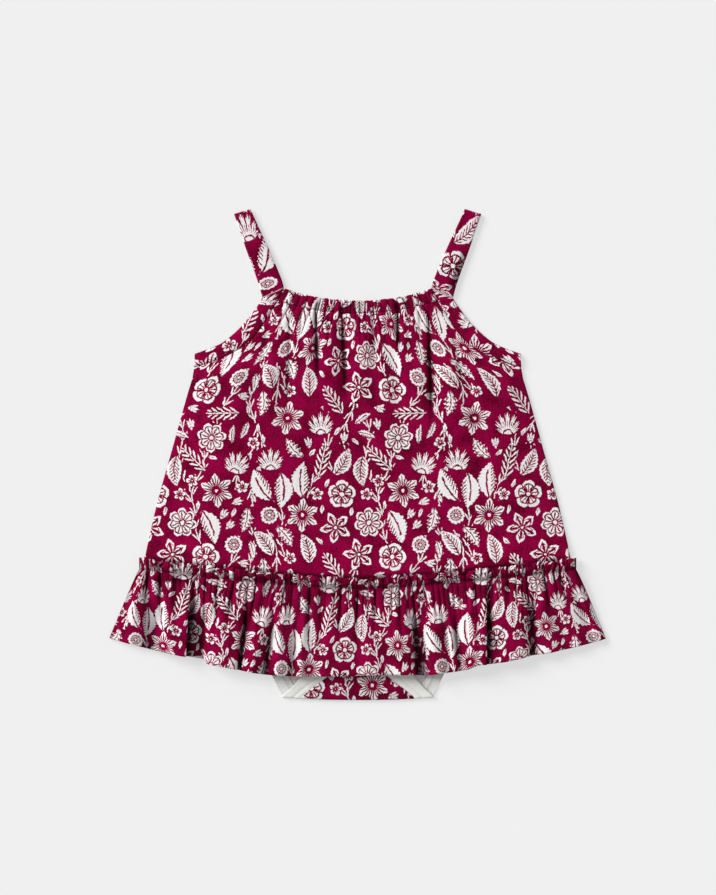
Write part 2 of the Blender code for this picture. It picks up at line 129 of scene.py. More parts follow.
# The armhole band, from the foot of the strap to the side seam. Its inner edge is also the
# upper edge of the panels, whose rows reach centre_height on the centre line.
ARMHOLE_ROWS = table(
    ArmholeRow,
    (60.0, 335.9, 77.7, 328.3, 326.0), (65.1, 326.1, 78.8, 326.2, 315.7),
    (69.0, 319.6, 81.0, 322.8, 309.5), (73.4, 312.4, 83.6, 319.0, 303.0),
    (78.6, 304.2, 88.6, 312.4, 296.0), (85.2, 295.6, 94.4, 305.6, 289.0),
    (94.0, 288.0, 101.4, 298.8, 282.5), (106.0, 281.2, 111.2, 291.2, 276.0),
    (119.5, 275.8, 122.2, 286.4, 270.0), (133.4, 271.4, 132.9, 282.6, 264.0),
)

# The panels below the armholes: side seam to side seam, down to the edge under the ruffle
SIDE_ROWS = table(
    PanelRow,
    (135.0, 262.0, 253.5, 2.0), (138.0, 252.5, 243.0, 2.0), (142.6, 236.5, 226.0, 2.0),
    (147.6, 218.5, 207.5, 2.0), (153.4, 197.5, 186.0, 2.0), (159.0, 178.0, 166.0, 1.9),
    (164.6, 157.0, 145.0, 1.8), (169.2, 137.0, 125.5, 1.6), (172.8, 119.8, 107.0, 1.4),
    (174.8, 109.5, 96.0, 1.35), (175.4, 101.7, 85.8, 1.35),
)

# Soft troughs between the folds that fall from the neck gathers; depth is a share
SOFT_FOLDS = table(
    Fold,
    (-34.0, 327.0, -33.0, 250.0, 4.5, 0.6), (-12.0, 318.0, -14.0, 212.0, 7.0, 0.75),
    (-57.0, 322.0, -67.0, 185.0, 8.0, 0.75), (-80.0, 300.0, -101.0, 150.0, 10.0, 0.6),
    (11.0, 318.0, 14.0, 228.0, 6.0, 0.6), (33.0, 320.0, 33.0, 284.0, 4.0, 0.6),
    (28.0, 282.0, 35.0, 190.0, 8.0, 0.5), (59.0, 324.0, 63.0, 192.0, 7.0, 0.75),
    (82.0, 302.0, 102.0, 168.0, 10.0, 0.6), (-110.0, 262.0, -128.0, 150.0, 12.0, 0.5),
    (112.0, 262.0, 130.0, 150.0, 12.0, 0.5), (0.0, 205.0, 2.0, 130.0, 13.0, 0.4),
    (-40.0, 205.0, -47.0, 130.0, 12.0, 0.4), (49.0, 195.0, 58.0, 130.0, 12.0, 0.4),
)

# Narrow creases in the front panel; width and depth are millimetres
SHARP_CREASES = table(
    Fold,
    (-34.6, 317.0, -32.6, 250.0, 1.6, 2.3), (-13.2, 316.0, -9.6, 232.0, 1.8, 1.9),
    (-56.0, 310.0, -58.5, 200.0, 2.2, 1.1), (12.4, 316.0, 13.4, 262.0, 1.6, 0.9),
    (32.4, 317.0, 32.6, 276.0, 1.5, 2.1), (40.0, 316.0, 42.0, 262.0, 1.8, 0.8),
    (57.6, 312.0, 60.0, 205.0, 2.0, 1.7), (-46.0, 316.0, -48.0, 284.0, 1.4, 0.8),
    (-24.0, 316.0, -24.5, 280.0, 1.4, 0.7), (2.0, 316.0, 2.5, 286.0, 1.3, 0.6),
    (22.0, 316.0, 23.0, 276.0, 1.5, 0.7), (50.0, 316.0, 51.0, 282.0, 1.3, 0.7),
    (76.0, 306.0, 88.0, 240.0, 2.4, 0.8), (-74.0, 306.0, -84.0, 246.0, 2.4, 0.7),
    (97.0, 284.0, 108.0, 214.0, 3.2, 0.6),
)

# The ruffle's head: its frilled edge, and the line where it is stitched down
FRILL_ROW = HeadRow(178.4, 116.5, 99.8)
STITCH_ROW = HeadRow(178.0, 106.7, 90.8)
HEAD_BOW = 1.35
HEM_ROW = PanelRow(202.5, 48.7, 19.4, 1.8)

# Ridges and troughs of the front ruffle from left to right, each with its place at the head
# and at the hem, the height of the hem there and how far it stands up
HEM_POINTS = table(
    HemPoint,
    (-178.0, -202.5, 50.8, 0.0), (-172.5, -187.1, 46.4, 3.0), (-166.8, -170.0, 42.0, 0.5),
    (-154.5, -154.5, 38.8, 4.6), (-141.5, -144.0, 36.6, 5.4), (-135.8, -139.5, 36.1, 5.0),
    (-133.4, -141.9, 36.2, 1.2), (-128.5, -134.2, 36.1, 0.6), (-123.6, -126.8, 36.1, 0.8),
    (-117.1, -123.2, 30.6, 3.2), (-102.4, -113.0, 28.5, 5.6), (-90.2, -100.4, 25.9, 4.4),
    (-86.9, -97.1, 25.2, 0.4), (-82.9, -93.4, 24.5, 2.6), (-71.4, -86.1, 23.2, 5.2),
    (-64.1, -75.5, 21.4, 1.2), (-57.6, -65.7, 20.8, 4.4), (-49.5, -54.3, 20.1, 1.4),
    (-42.9, -47.0, 20.0, 3.8), (-36.4, -39.7, 20.0, 2.4), (-19.3, -22.6, 20.0, 4.0),
    (-4.6, -7.1, 20.4, 3.0), (10.0, 10.0, 21.0, 4.1), (24.7, 23.9, 21.1, 2.8),
    (33.6, 36.1, 21.2, 4.2), (39.4, 44.2, 21.1, 2.6), (42.6, 49.9, 21.0, 0.0),
    (47.5, 55.6, 20.8, 0.8), (55.6, 63.8, 21.7, 4.0), (65.4, 73.6, 23.0, 1.8),
    (71.1, 79.3, 23.8, 3.2), (75.2, 83.3, 24.4, 1.5), (83.3, 89.9, 25.8, 4.4),
    (94.7, 98.0, 29.1, 5.4), (103.7, 104.9, 29.5, 4.6), (105.7, 102.9, 29.4, 0.9),
    (111.9, 111.0, 30.4, 1.6), (120.8, 121.6, 32.0, 4.0), (131.4, 134.7, 34.9, 3.6),
    (138.7, 142.8, 37.0, 0.8), (147.7, 155.0, 38.6, 3.2), (155.9, 166.4, 41.1, 2.0),
    (163.2, 179.5, 44.1, 3.2), (170.5, 190.9, 46.9, 1.4), (174.2, 196.6, 48.5, 2.2),
    (178.0, 202.5, 50.2, 0.0),
)

STRAP_ROWS = table(
    StrapRow,
    (60.2, 336.4, 77.9, 328.8), (61.7, 342.2, 80.1, 337.2), (66.2, 353.5, 83.6, 347.4),
    (72.4, 368.0, 89.0, 362.0), (79.4, 383.0, 94.4, 377.6), (86.9, 399.36, 100.4, 395.26),
)

SUIT_FRONT_ROWS = table(
    SuitRow,
    (258.0, 123.0), (235.0, 118.0), (205.0, 116.0), (170.0, 115.5), (135.0, 115.0),
    (110.0, 114.5), (98.0, 107.0), (88.0, 93.0), (77.0, 76.0), (66.0, 56.0), (54.0, 38.0),
    (46.0, 32.0), (38.0, 30.0),
)


def on_back(height):
    """Travel along the bodysuit's back at this height, negative above the crotch fold."""
    return CROTCH_FOLD - height


def in_fold(share):
    """Travel at this share of the way round the crotch fold."""
    return share * math.pi * CROTCH_FOLD


def on_flap(height):
    """Travel along the flap at this height, once past the crotch fold."""
    return math.pi * CROTCH_FOLD + height - CROTCH_FOLD


SUIT_BACK_ROWS = table(
    SuitRow,
    (258.0, 123.0), (235.0, 118.0), (205.0, 116.0), (170.0, 115.5), (135.0, 115.0),
    (110.0, 114.5), (104.6, 114.5),
)

LEG_ROWS = table(
    LegRow,
    (on_back(103.4), 103.6, 114.5), (on_back(90.0), 96.5, 109.3), (on_back(75.0), 87.0, 101.0),
    (on_back(60.0), 77.0, 92.0), (on_back(44.0), 67.5, 82.5), (on_back(30.0), 60.5, 75.2),
    (on_back(19.4), 56.3, 70.2), (on_back(8.0), 50.0, 65.0),
    (on_back(1.4), 45.9, CROTCH_HALF_WIDTH), (in_fold(0.25), 45.8, CROTCH_HALF_WIDTH),
    (in_fold(0.5), 45.7, CROTCH_HALF_WIDTH), (in_fold(0.75), 45.7, CROTCH_HALF_WIDTH),
    (on_flap(1.4), 45.6, 61.6), (on_flap(8.0), 38.5, 55.3), (on_flap(14.0), 31.0, 50.2),
    (on_flap(19.4), 24.2, 46.0), (on_flap(26.0), 19.6, 41.0), (on_flap(32.0), 17.2, 37.0),
    (on_flap(42.0), 15.4, 32.5), (on_flap(62.0), 15.0, 30.0),
)

# Shapes ---------------------------------------------------------------------------------


def smooth_step(low, high, value):
    """0 below low, 1 above high and a soft ramp between them."""
    share = min(1.0, max(0.0, (value - low) / (high - low)))
    return share * share * (3.0 - 2.0 * share)


def mix(first, second, share):
    return first + (second - first) * share


def point(x, height, z):
    """A place in the model, in metres, with the origin at the middle of the garment's box."""
    return Vector((x, height - LENGTH / 2.0, z)) * MM


def along_rows(rows, position, curved=True):
    """The row at a position between rows, on a smooth or a straight line through them."""
    index = min(int(position), len(rows) - 2)
    share = position - index
    square, cube = share * share, share ** 3
    before, after = rows[index], rows[index + 1]
    outer, last = rows[max(index - 1, 0)], rows[min(index + 2, len(rows) - 1)]
    values = []
    for first, start, end, final in zip(outer, before, after, last):
        if curved:
            values.append(
                start * (2.0 * cube - 3.0 * square + 1.0) + end * (3.0 * square - 2.0 * cube)
                + (end - first) / 2.0 * (cube - 2.0 * square + share)
                + (final - start) / 2.0 * (cube - square))
        else:
            values.append(mix(start, end, share))
    return type(before)(*values)


def row_height(row, bow, side):
    """Height along a bowed row, where side goes from -1 to 1 across the garment."""
    return row.centre_height + (row.edge_height - row.centre_height) * abs(side) ** bow


def stitch_height(x):
    """Height of the line where the ruffle is stitched to the panel."""
    return row_height(STITCH_ROW, HEAD_BOW, min(1.0, abs(x) / STITCH_ROW.edge_x))


def lap(x, height):
    """1 where the head of the back ruffle lies under the other layers, above the stitching."""
    return 1.0 - smooth_step(18.0, 32.0, height - stitch_height(x))


def suit_half_width(height):
    """Half the width of the bodysuit at this height, or at its top above that."""
    rows = SUIT_BACK_ROWS
    if height >= rows[0].height:
        return rows[0].half_width
    for upper, lower in zip(rows, rows[1:]):
        if height >= lower.height:
            share = (height - lower.height) / (upper.height - lower.height)
            return mix(lower.half_width, upper.half_width, share)
    return rows[-1].half_width


def suit_rise(x, height):
    """How far the bodysuit is lifted by the seam of the back ruffle beneath it."""
    below = stitch_height(x) - height
    return LAP_RISE * lap(x, height) * (1.0 - smooth_step(8.0, 24.0, below))


class Gathers:
    """Rounded puckers with narrow valleys between them, uneven in width and depth."""

    def __init__(self, count, seed, spread=0.45):
        rng = random.Random(seed)
        widths = [1.0 + rng.uniform(-spread, spread) for _ in range(count)]
        total, reached = sum(widths), 0.0
        self.places = [0.0]
        for width in widths:
            reached += width / total
            self.places.append(reached)
        self.depths = [rng.uniform(0.45, 1.0) for _ in range(count)]
        self.lengths = [random.Random(seed + 7 * n).uniform(0.5, 1.5) for n in range(count)]

    def find(self, share):
        """Number of the pucker here, its width and how far across it this is."""
        low = max(0, min(len(self.depths), bisect_right(self.places, share)) - 1)
        width = self.places[low + 1] - self.places[low]
        return low, width, min(1.0, max(0.0, (share - self.places[low]) / width))

    def at(self, share, sharpness=0.7):
        """Height of the puckers here, from 0 in a valley to about 1, and their length."""
        low, _, turn = self.find(share)
        length = mix(self.lengths[low], self.lengths[min(low + 1, len(self.lengths) - 1)],
                     smooth_step(0.3, 0.7, turn))
        return self.depths[low] * math.sin(math.pi * turn) ** sharpness, length

    def drawn(self, share, pull=0.72):
        """Share of the seam where this share of the cloth lies, drawn in at the valleys."""
        low, width, turn = self.find(share)
        return share - pull * self.depths[low] * width * math.sin(TURN * turn) / TURN


# Cloth ----------------------------------------------------------------------------------


def linear(hex_value):
    """An sRGB hex colour as linear red, green, blue and alpha."""
    channels = []
    for start in (0, 2, 4):
        value = int(hex_value[start:start + 2], 16) / 255.0
        channels.append(value / 12.92 if value <= 0.04045 else ((value + 0.055) / 1.055) ** 2.4)
    return (*channels, 1.0)


def finish_piece(name, bm, materials, nodes, slot):
    """Make the piece from a bmesh, riding on the body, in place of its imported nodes."""
    mesh = bpy.data.meshes.new(name)
    bm.to_mesh(mesh)
    bm.free()
    mesh.shade_smooth()
    piece = bpy.data.objects.new(name, mesh)
    for material in materials:
        mesh.materials.append(material)
    bpy.context.scene.collection.objects.link(piece)
    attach(piece, BODY)
    if nodes:
        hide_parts(*nodes)
    return piece


def blurred(values, reach, axis):
    """Values of a grid averaged over reach steps to both sides along one axis."""
    edges = [(reach, reach) if number == axis else (0, 0) for number in (0, 1)]
    padded = numpy.pad(values, edges, mode="edge")
    count = values.shape[axis]
    parts = [numpy.take(padded, range(n, n + count), axis) for n in range(2 * reach + 1)]
    return sum(parts) / len(parts)


def hollows(spots, columns, rows, face_down):
    """How deep each point lies between the folds beside it, from 0 to 1, which sets its painted
    shade.
    """
    levels = numpy.array([[spots[column, row].z / MM for column in range(columns + 1)]
                          for row in range(rows + 1)])
    if face_down:
        levels = -levels
    step = (spots[columns, rows] - spots[0, rows]).length / MM / columns
    depth = numpy.zeros_like(levels)
    for reach, share in HOLLOW_REACHES:
        around = blurred(levels, max(1, round(reach / step)), 1)
        depth += share * numpy.maximum(0.0, around - levels)
    return numpy.minimum(1.0, blurred(depth, 1, 0) / HOLLOW_DEPTH)


Fabric = namedtuple("Fabric", "materials slot thickness")


def cloth(name, node, grid, place, pattern, fabric, face_down=False,
          shade=None):
    """A shell of cloth on a grid of columns and rows, mapped to its cut pattern.

    place gives a point of its outer side and pattern that point's place on the cut. shade adds
    painted shade to that of the hollows, where another piece or a sharp crease shades the
    cloth. Returns the points of the outer side by column and row.
    """
    columns, rows = grid
    bm = bmesh.new()
    flat_layer = bm.verts.layers.float_vector.new("flat")
    painted_shade_layer = bm.verts.layers.float.new("painted_shade")
    share_layer = bm.verts.layers.float_vector.new("share")
    bmesh.ops.create_grid(bm, x_segments=columns, y_segments=rows, size=0.5)
    spots, keys = {}, {}
    for vert in bm.verts:
        key = round((vert.co.x + 0.5) * columns), round((0.5 - vert.co.y) * rows)
        keys[vert] = key
        vert[flat_layer] = (*pattern(*key), 0.0)
        vert[share_layer] = (key[0] / columns, 1.0 - key[1] / rows, 0.0)
        vert.co = spots[key] = place(*key)
    # Each point's painted shade: its depth between the folds, and what shade adds.
    depth = hollows(spots, columns, rows, face_down)
    for vert, (column, row) in keys.items():
        more = shade(column, row) if shade else 0.0
        vert[painted_shade_layer] = min(1.0, depth[row, column] + more)
    if face_down:
        bmesh.ops.reverse_faces(bm, faces=bm.faces[:])
    bm.normal_update()
    outer_verts, outer_faces = set(bm.verts), set(bm.faces)
    bmesh.ops.solidify(bm, geom=bm.faces[:], thickness=fabric.thickness)
    cut = bm.loops.layers.uv.new("flat_pattern")
    bake = bm.loops.layers.uv.new("OFBake")
    area = 0.0
    for face in bm.faces:
        inner = not any(vert in outer_verts for vert in face.verts)
        rim = not inner and face not in outer_faces
        face.material_index = 1 if inner else 0
        for loop in face.loops:
            flat, share = loop.vert[flat_layer], loop.vert[share_layer]
            loop[cut].uv = flat.xy
            if rim:
                offset = 0.012 if loop.vert in outer_verts else 0.0
                loop[bake].uv = (0.02 + 0.96 * share.x, 0.004 + offset + 0.03 * share.y)
            else:
                low, tall = (0.06, 0.22) if inner else (0.30, 0.69)
                loop[bake].uv = (0.01 + 0.98 * share.x, low + tall * share.y)
        if face in outer_faces:
            corners = [loop[cut].uv for loop in face.loops]
            turned = zip(corners, corners[1:] + corners[:1])
            area += abs(sum(a.x * b.y - b.x * a.y for a, b in turned)) / 2.0
    across, along = zip(*(vert[flat_layer].xy for vert in outer_verts))
    width, length = (max(across) - min(across)) * MM, (max(along) - min(along)) * MM
    piece = finish_piece(name, bm, fabric.materials, [node], fabric.slot)
    return spots


def panel_row(position):
    """Outline row of a panel at a position from 0 at the neck to 19 at the lower edge."""
    last = len(ARMHOLE_ROWS) - 2
    if position <= last:
        row = along_rows(ARMHOLE_ROWS, position + 1.0)
        return PanelRow(row.inner_x, row.inner_height, row.centre_height,
                        mix(NECK_BOW, 2.0, smooth_step(0.0, 2.0, position)))
    if position < last + 1:
        end = ARMHOLE_ROWS[-1]
        first = PanelRow(end.inner_x, end.inner_height, end.centre_height, 2.0)
        return along_rows((first, SIDE_ROWS[0]), position - last, curved=False)
    return along_rows(SIDE_ROWS, position - last - 1)


PANEL_POSITIONS = len(ARMHOLE_ROWS) - 1 + len(SIDE_ROWS) - 1
NECK_PUCKERS = Gathers(30, 5)
BACK_PUCKERS = Gathers(30, 19)
HEAD_PUCKERS = Gathers(62, 23)
FRILL_PUCKERS = Gathers(170, 61, 0.7)
LONG_PUCKERS = Gathers(27, 31)
BACK_HEAD_PUCKERS = Gathers(56, 41)


def trough(fold, x, height):
    """Share of a soft trough at this place."""
    share = (fold.top_height - height) / (fold.top_height - fold.foot_height)
    if share < -0.15 or share > 1.0:
        return 0.0
    centre = mix(fold.top_x, fold.foot_x, share)
    width = fold.width * (0.75 + 0.5 * max(0.0, share))
    if abs(x - centre) > 3.0 * width:
        return 0.0
    fade = smooth_step(-0.15, 0.05, share) * (1.0 - smooth_step(0.45, 1.0, share))
    return fold.depth * fade * math.exp(-((x - centre) / width) ** 2)


def crease(fold, x, height):
    """Depth of a narrow crease, sharp at its foot and steeper on its left."""
    share = (fold.top_height - height) / (fold.top_height - fold.foot_height)
    if share < -0.1 or share > 1.0:
        return 0.0
    centre = mix(fold.top_x, fold.foot_x, share)
    width = CREASE_WIDTH * fold.width * (0.8 + 1.2 * max(0.0, share))
    away = (x - centre) / width
    if not -4.0 < away < 7.0:
        return 0.0
    away = -away if away < 0.0 else away * 0.6
    fade = smooth_step(-0.1, 0.03, share) * (1.0 - smooth_step(0.4, 1.0, share))
    return fold.depth * fade * math.exp(-away ** 1.3)


def casing_crease(x, down):
    """Painted shade of the sharp creases where they run up into the neck casing."""
    dark = max(fold.depth * math.exp(-(abs(x - fold.top_x) / (0.9 * fold.width)) ** 1.5)
               for fold in SHARP_CREASES if fold.top_height > CREASE_REACH)
    return 0.5 * dark * smooth_step(0.05, 0.6, down)


def panel_relief(x, height, edge_x):
    """Height of the soft folds of the front panel above its own level."""
    mound = 0.9 + 3.0 * smooth_step(318.0, 285.0, height)
    mound *= 0.2 + 0.8 * smooth_step(150.0, 235.0, height)
    mound *= smooth_step(128.0, 165.0, height)
    mound *= smooth_step(0.0, 45.0, edge_x - abs(x))
    for fold in SOFT_FOLDS:
        mound *= 1.0 - trough(fold, x, height)
    return mound


def front_level(x, height, edge_x):
    """Underside of the front panel: on the bodysuit, and down to the back at the sides."""
    middle = mix(NECK_LEVEL, PANEL_LEVEL, smooth_step(288.0, 266.0, height))
    edge = mix(NECK_LEVEL, EDGE_LEVEL, smooth_step(288.0, 266.0, height))
    room = max(mix(8.0, 28.0, smooth_step(259.0, 272.0, height)), edge_x - suit_half_width(height))
    share = smooth_step(0.0, room, edge_x - abs(x))
    return mix(edge, middle, share) + LAP_RISE * lap(x, height)


def flat_neck(x, height):
    """Place on the cut: its rows are wider than the gathered ones near the neck."""
    spread = 1.0 + (NECK_GATHER - 1.0) * smooth_step(248.0, 322.0, height)
    return x * spread, height


def panel_spot(position, side):
    """Outline row of a panel at a position, and the place on it at a side from -1 to 1."""
    outline = panel_row(position)
    return outline, outline.edge_x * side, row_height(outline, outline.bow, side)


def below_neck(x, height):
    """How far below the seam of the neck casing this is."""
    seam = panel_row(0.0)
    return row_height(seam, NECK_BOW, min(1.0, abs(x) / seam.edge_x)) - height


def front_height(x, height, edge_x, share):
    """Upper side of the front panel."""
    pucker, length = NECK_PUCKERS.at(share)
    seam = below_neck(x, height)
    inside = smooth_step(1.0, 9.0, edge_x - abs(x))
    fade = 1.0 - smooth_step(4.0, 26.0 * length, seam)
    under = front_level(x, height, edge_x)
    level = under + CLOTH + panel_relief(x, height, edge_x)
    level += 1.7 * pucker * fade * inside
    level -= 0.2 * (1.0 - smooth_step(0.0, 1.6, seam))
    depth = max(crease(fold, x, height) for fold in SHARP_CREASES)
    level = max(level - depth * inside, min(level, under + 0.55))
    return level - 0.7 * (1.0 - smooth_step(0.0, 1.8, edge_x - abs(x)))


def make_front_panel(fabric):
    columns, rows = 264, 172

    def spot(column, row):
        share = column / columns
        drawn = 1.0 - smooth_step(0.0, 0.42, row / rows)
        side = 2.0 * mix(share, NECK_PUCKERS.drawn(share), drawn) - 1.0
        return panel_spot(PANEL_POSITIONS * row / rows, side)

    def place(column, row):
        outline, x, height = spot(column, row)
        return point(x, height, front_height(x, height, outline.edge_x, column / columns))

    def pattern(column, row):
        side = 2.0 * column / columns - 1.0
        return flat_neck(*panel_spot(PANEL_POSITIONS * row / rows, side)[1:])

    def shade(column, row):
        # Painted shade along the sharp creases, and a painted shadow on the panel just above the
        # ruffle's frill.
        outline, x, height = spot(column, row)
        depth = (max(crease(fold, x, height) for fold in SHARP_CREASES) / 1.6) ** 2.1
        above = height - row_height(FRILL_ROW, HEAD_BOW, min(1.0, abs(x) / FRILL_ROW.edge_x))
        if -6.0 < above < 6.0:
            depth += 0.75 * (1.0 - smooth_step(0.4, 3.2, above))
        return depth * smooth_step(1.0, 9.0, outline.edge_x - abs(x))

    cloth("dress_front", "front_panel", (columns, rows), place, pattern, fabric,
          shade=shade)


def make_back_panel(fabric):
    columns, rows = 150, 90

    def spot(column, row):
        return panel_spot(PANEL_POSITIONS * row / rows, 2.0 * column / columns - 1.0)

    def place(column, row):
        outline, x, height = spot(column, row)
        pucker, length = BACK_PUCKERS.at(column / columns)
        puckered = 1.0 - smooth_step(2.0, 24.0 * length, below_neck(x, height))
        z = LAP_RISE * lap(x, height) + 0.35 * pucker * puckered
        z += 0.25 * (1.0 - smooth_step(0.0, 1.8, outline.edge_x - abs(x)))
        return point(x, height, z)

    def pattern(column, row):
        u, v = flat_neck(*spot(column, row)[1:])
        return 61.0 - u, v + 37.0

    cloth("dress_back", "back_panel", (columns, rows), place, pattern, fabric,
          face_down=True)


def casing_point(side, down, z):
    """A place on a neck casing, where down goes from 0 at the top edge to 1 at the seam."""
    top, seam = ARMHOLE_ROWS[0], ARMHOLE_ROWS[1]
    edge_x = mix(top.inner_x, seam.inner_x, down)
    edge_height = mix(top.inner_height, seam.inner_height, down)
    centre_height = mix(top.centre_height, seam.centre_height, down)
    height = centre_height + (edge_height - centre_height) * abs(side) ** NECK_BOW
    return point(edge_x * side, height, z)


def make_neck_casing(layer, fabric):
    columns, rows = 260, 12
    front = layer == "front"
    puckers = NECK_PUCKERS if front else BACK_PUCKERS

    def place(column, row):
        share = column / columns
        side = 2.0 * puckers.drawn(share) - 1.0
        down = row / rows
        pucker, _ = puckers.at(share)
        puff = math.sqrt(max(0.0, 1.0 - (2.0 * down - 1.0) ** 2))
        ends = 1.0 - abs(side) ** 12
        if front:
            z = NECK_LEVEL + 1.2 + 0.6 * puff ** 0.6 + 1.7 * pucker * ends * (0.75 + 0.25 * puff)
        else:
            z = 0.12 + 0.4 * (1.0 - puff) + 0.12 * (1.0 - pucker) * ends
        scallop = 0.10 * (0.6 - pucker) * (1.0 - down) ** 3 * ends
        return casing_point(side, down + scallop, z)

    def pattern(column, row):
        side = 2.0 * column / columns - 1.0
        u = side * ARMHOLE_ROWS[1].inner_x * NECK_GATHER + (0.0 if front else 90.0)
        return u, 325.7 - CASING_CUT * row / rows

    def shade(column, row):
        # Painted shade where the creases run into the front casing, and between its puckers.
        if not front:
            return 0.0
        side = 2.0 * puckers.drawn(column / columns) - 1.0
        pucker, _ = puckers.at(column / columns)
        x = side * ARMHOLE_ROWS[1].inner_x
        return casing_crease(x, row / rows) + 0.3 * (1.0 - pucker)

    spots = cloth(f"neck_casing_{layer}_cloth", f"neck_casing_{layer}", (columns, rows), place,
                  pattern, fabric, face_down=not front, shade=shade)
    SEAMS["thread"].append([spots[column, rows - 1] for column in range(columns + 1)])


def mirrored(column, columns, side):
    """Column counted from the centre line outwards, on the right (1) or the left (-1)."""
    return column if side > 0 else columns - column


def make_armhole_band(layer, hand, side, fabric):
    columns, rows = 10, 96
    front = layer == "front"
    ripple = random.Random(f"{layer}{hand}")
    waves = [(ripple.uniform(0.25, 0.9), ripple.uniform(0.0, 6.3), ripple.uniform(0.05, 0.14))
             for _ in range(5)]

    def place(column, row):
        outline = along_rows(ARMHOLE_ROWS, (len(ARMHOLE_ROWS) - 1) * row / rows)
        share = mirrored(column, columns, side) / columns
        puff = (1.0 - (2.0 * share - 1.0) ** 4) ** 0.7
        wave = sum(size * math.sin(rate * row + turn) for rate, turn, size in waves)
        if front:
            z = NECK_LEVEL + 0.35 + 1.0 * puff + wave * (0.3 + 0.7 * (1.0 - share)) * puff
        else:
            z = 0.35 * (1.0 - puff) + 0.16
        return point(side * mix(outline.inner_x, outline.outer_x, share),
                     mix(outline.inner_height, outline.outer_height, share), z)

    def pattern(column, row):
        share = mirrored(column, columns, side) / columns
        return side * 40.0 + 12.0 * share + (0.0 if front else 71.0), 100.0 - 0.96 * row

    spots = cloth(f"armhole_band_{layer}_{hand}_cloth", f"armhole_band_{layer}_{hand}",
                  (columns, rows), place, pattern, fabric, face_down=not front)
    seam = mirrored(2, columns, side)
    SEAMS["thread"].append([spots[seam, row] for row in range(rows + 1)])


def make_strap(hand, side, fabric):
    """One strip, from the front up to the shoulder, over its fold and down the back."""
    columns, flat_rows, fold_rows = 12, 60, 12
    rows = 2 * flat_rows + fold_rows
    last = STRAP_ROWS[-1]
    fold_line = Vector((last.outer_x - last.inner_x, last.outer_height - last.inner_height))
    along = Vector((-fold_line.y, fold_line.x)).normalized()

    def place(column, index):
        share = mirrored(column, columns, side) / columns
        angle = math.pi * min(1.0, max(0.0, (index - flat_rows) / fold_rows))
        row = along_rows(STRAP_ROWS, 5.0 * min(index, rows - index) / flat_rows)
        if 0.0 < angle < math.pi:
            row = last
        puff = (1.0 - (2.0 * share - 1.0) ** 6) ** 0.6
        reach = STRAP_FOLD * math.sin(angle)
        z = STRAP_FOLD + STRAP_FOLD * math.cos(angle) - 0.35 * math.cos(angle) * (1.0 - puff)
        if angle == 0.0:
            z += 0.12 * math.sin(0.33 * index + side) * puff
        z += 0.14 * (1.0 - math.cos(angle)) / 2.0
        x = mix(row.inner_x, row.outer_x, share)
        height = mix(row.inner_height, row.outer_height, share)
        return point(side * (x + reach * along.x), height + reach * along.y, z)

    def pattern(column, index):
        share = mirrored(column, columns, side) / columns
        return 100.0 + side * 30.0 + 16.0 * share, 70.0 * index / flat_rows

    def shade(column, index):
        """Darker where the right strap turns over its outer edge in the photo."""
        # Painted shade down the outer side of the right strap.
        if side < 0 or index > flat_rows:
            return 0.0
        turned = smooth_step(0.60, 0.78, column / columns) * smooth_step(4.0, 12.0, index)
        return 0.75 * turned * (1.0 - smooth_step(30.0, 46.0, index))

    spots = cloth(f"strap_{hand}_cloth", f"strap_{hand}", (columns, rows), place, pattern,
                  fabric, face_down=True, shade=shade)
    for column in (1, columns - 1):
        for start in (0, flat_rows + fold_rows + 1):
            seam = range(start, start + flat_rows)
            SEAMS["thread"].append([spots[column, row] for row in seam])


def even_profile(columns):
    """The front ruffle's ridges and troughs, read at even distances along its cloth."""
    steps = 40 * (len(HEM_POINTS) - 1)
    fine = [along_rows(HEM_POINTS, n / 40) for n in range(steps + 1)]
    travel = [0.0]
    for before, after in zip(fine, fine[1:]):
        travel.append(travel[-1] + 0.6 * abs(after.head_x - before.head_x)
                      + math.hypot(after.hem_x - before.hem_x, after.rise - before.rise))
    profile, index = [], 0
    for column in range(columns + 1):
        wanted = travel[-1] * column / columns
        while index < steps and travel[index] < wanted:
            index += 1
        profile.append(fine[index])
    return profile


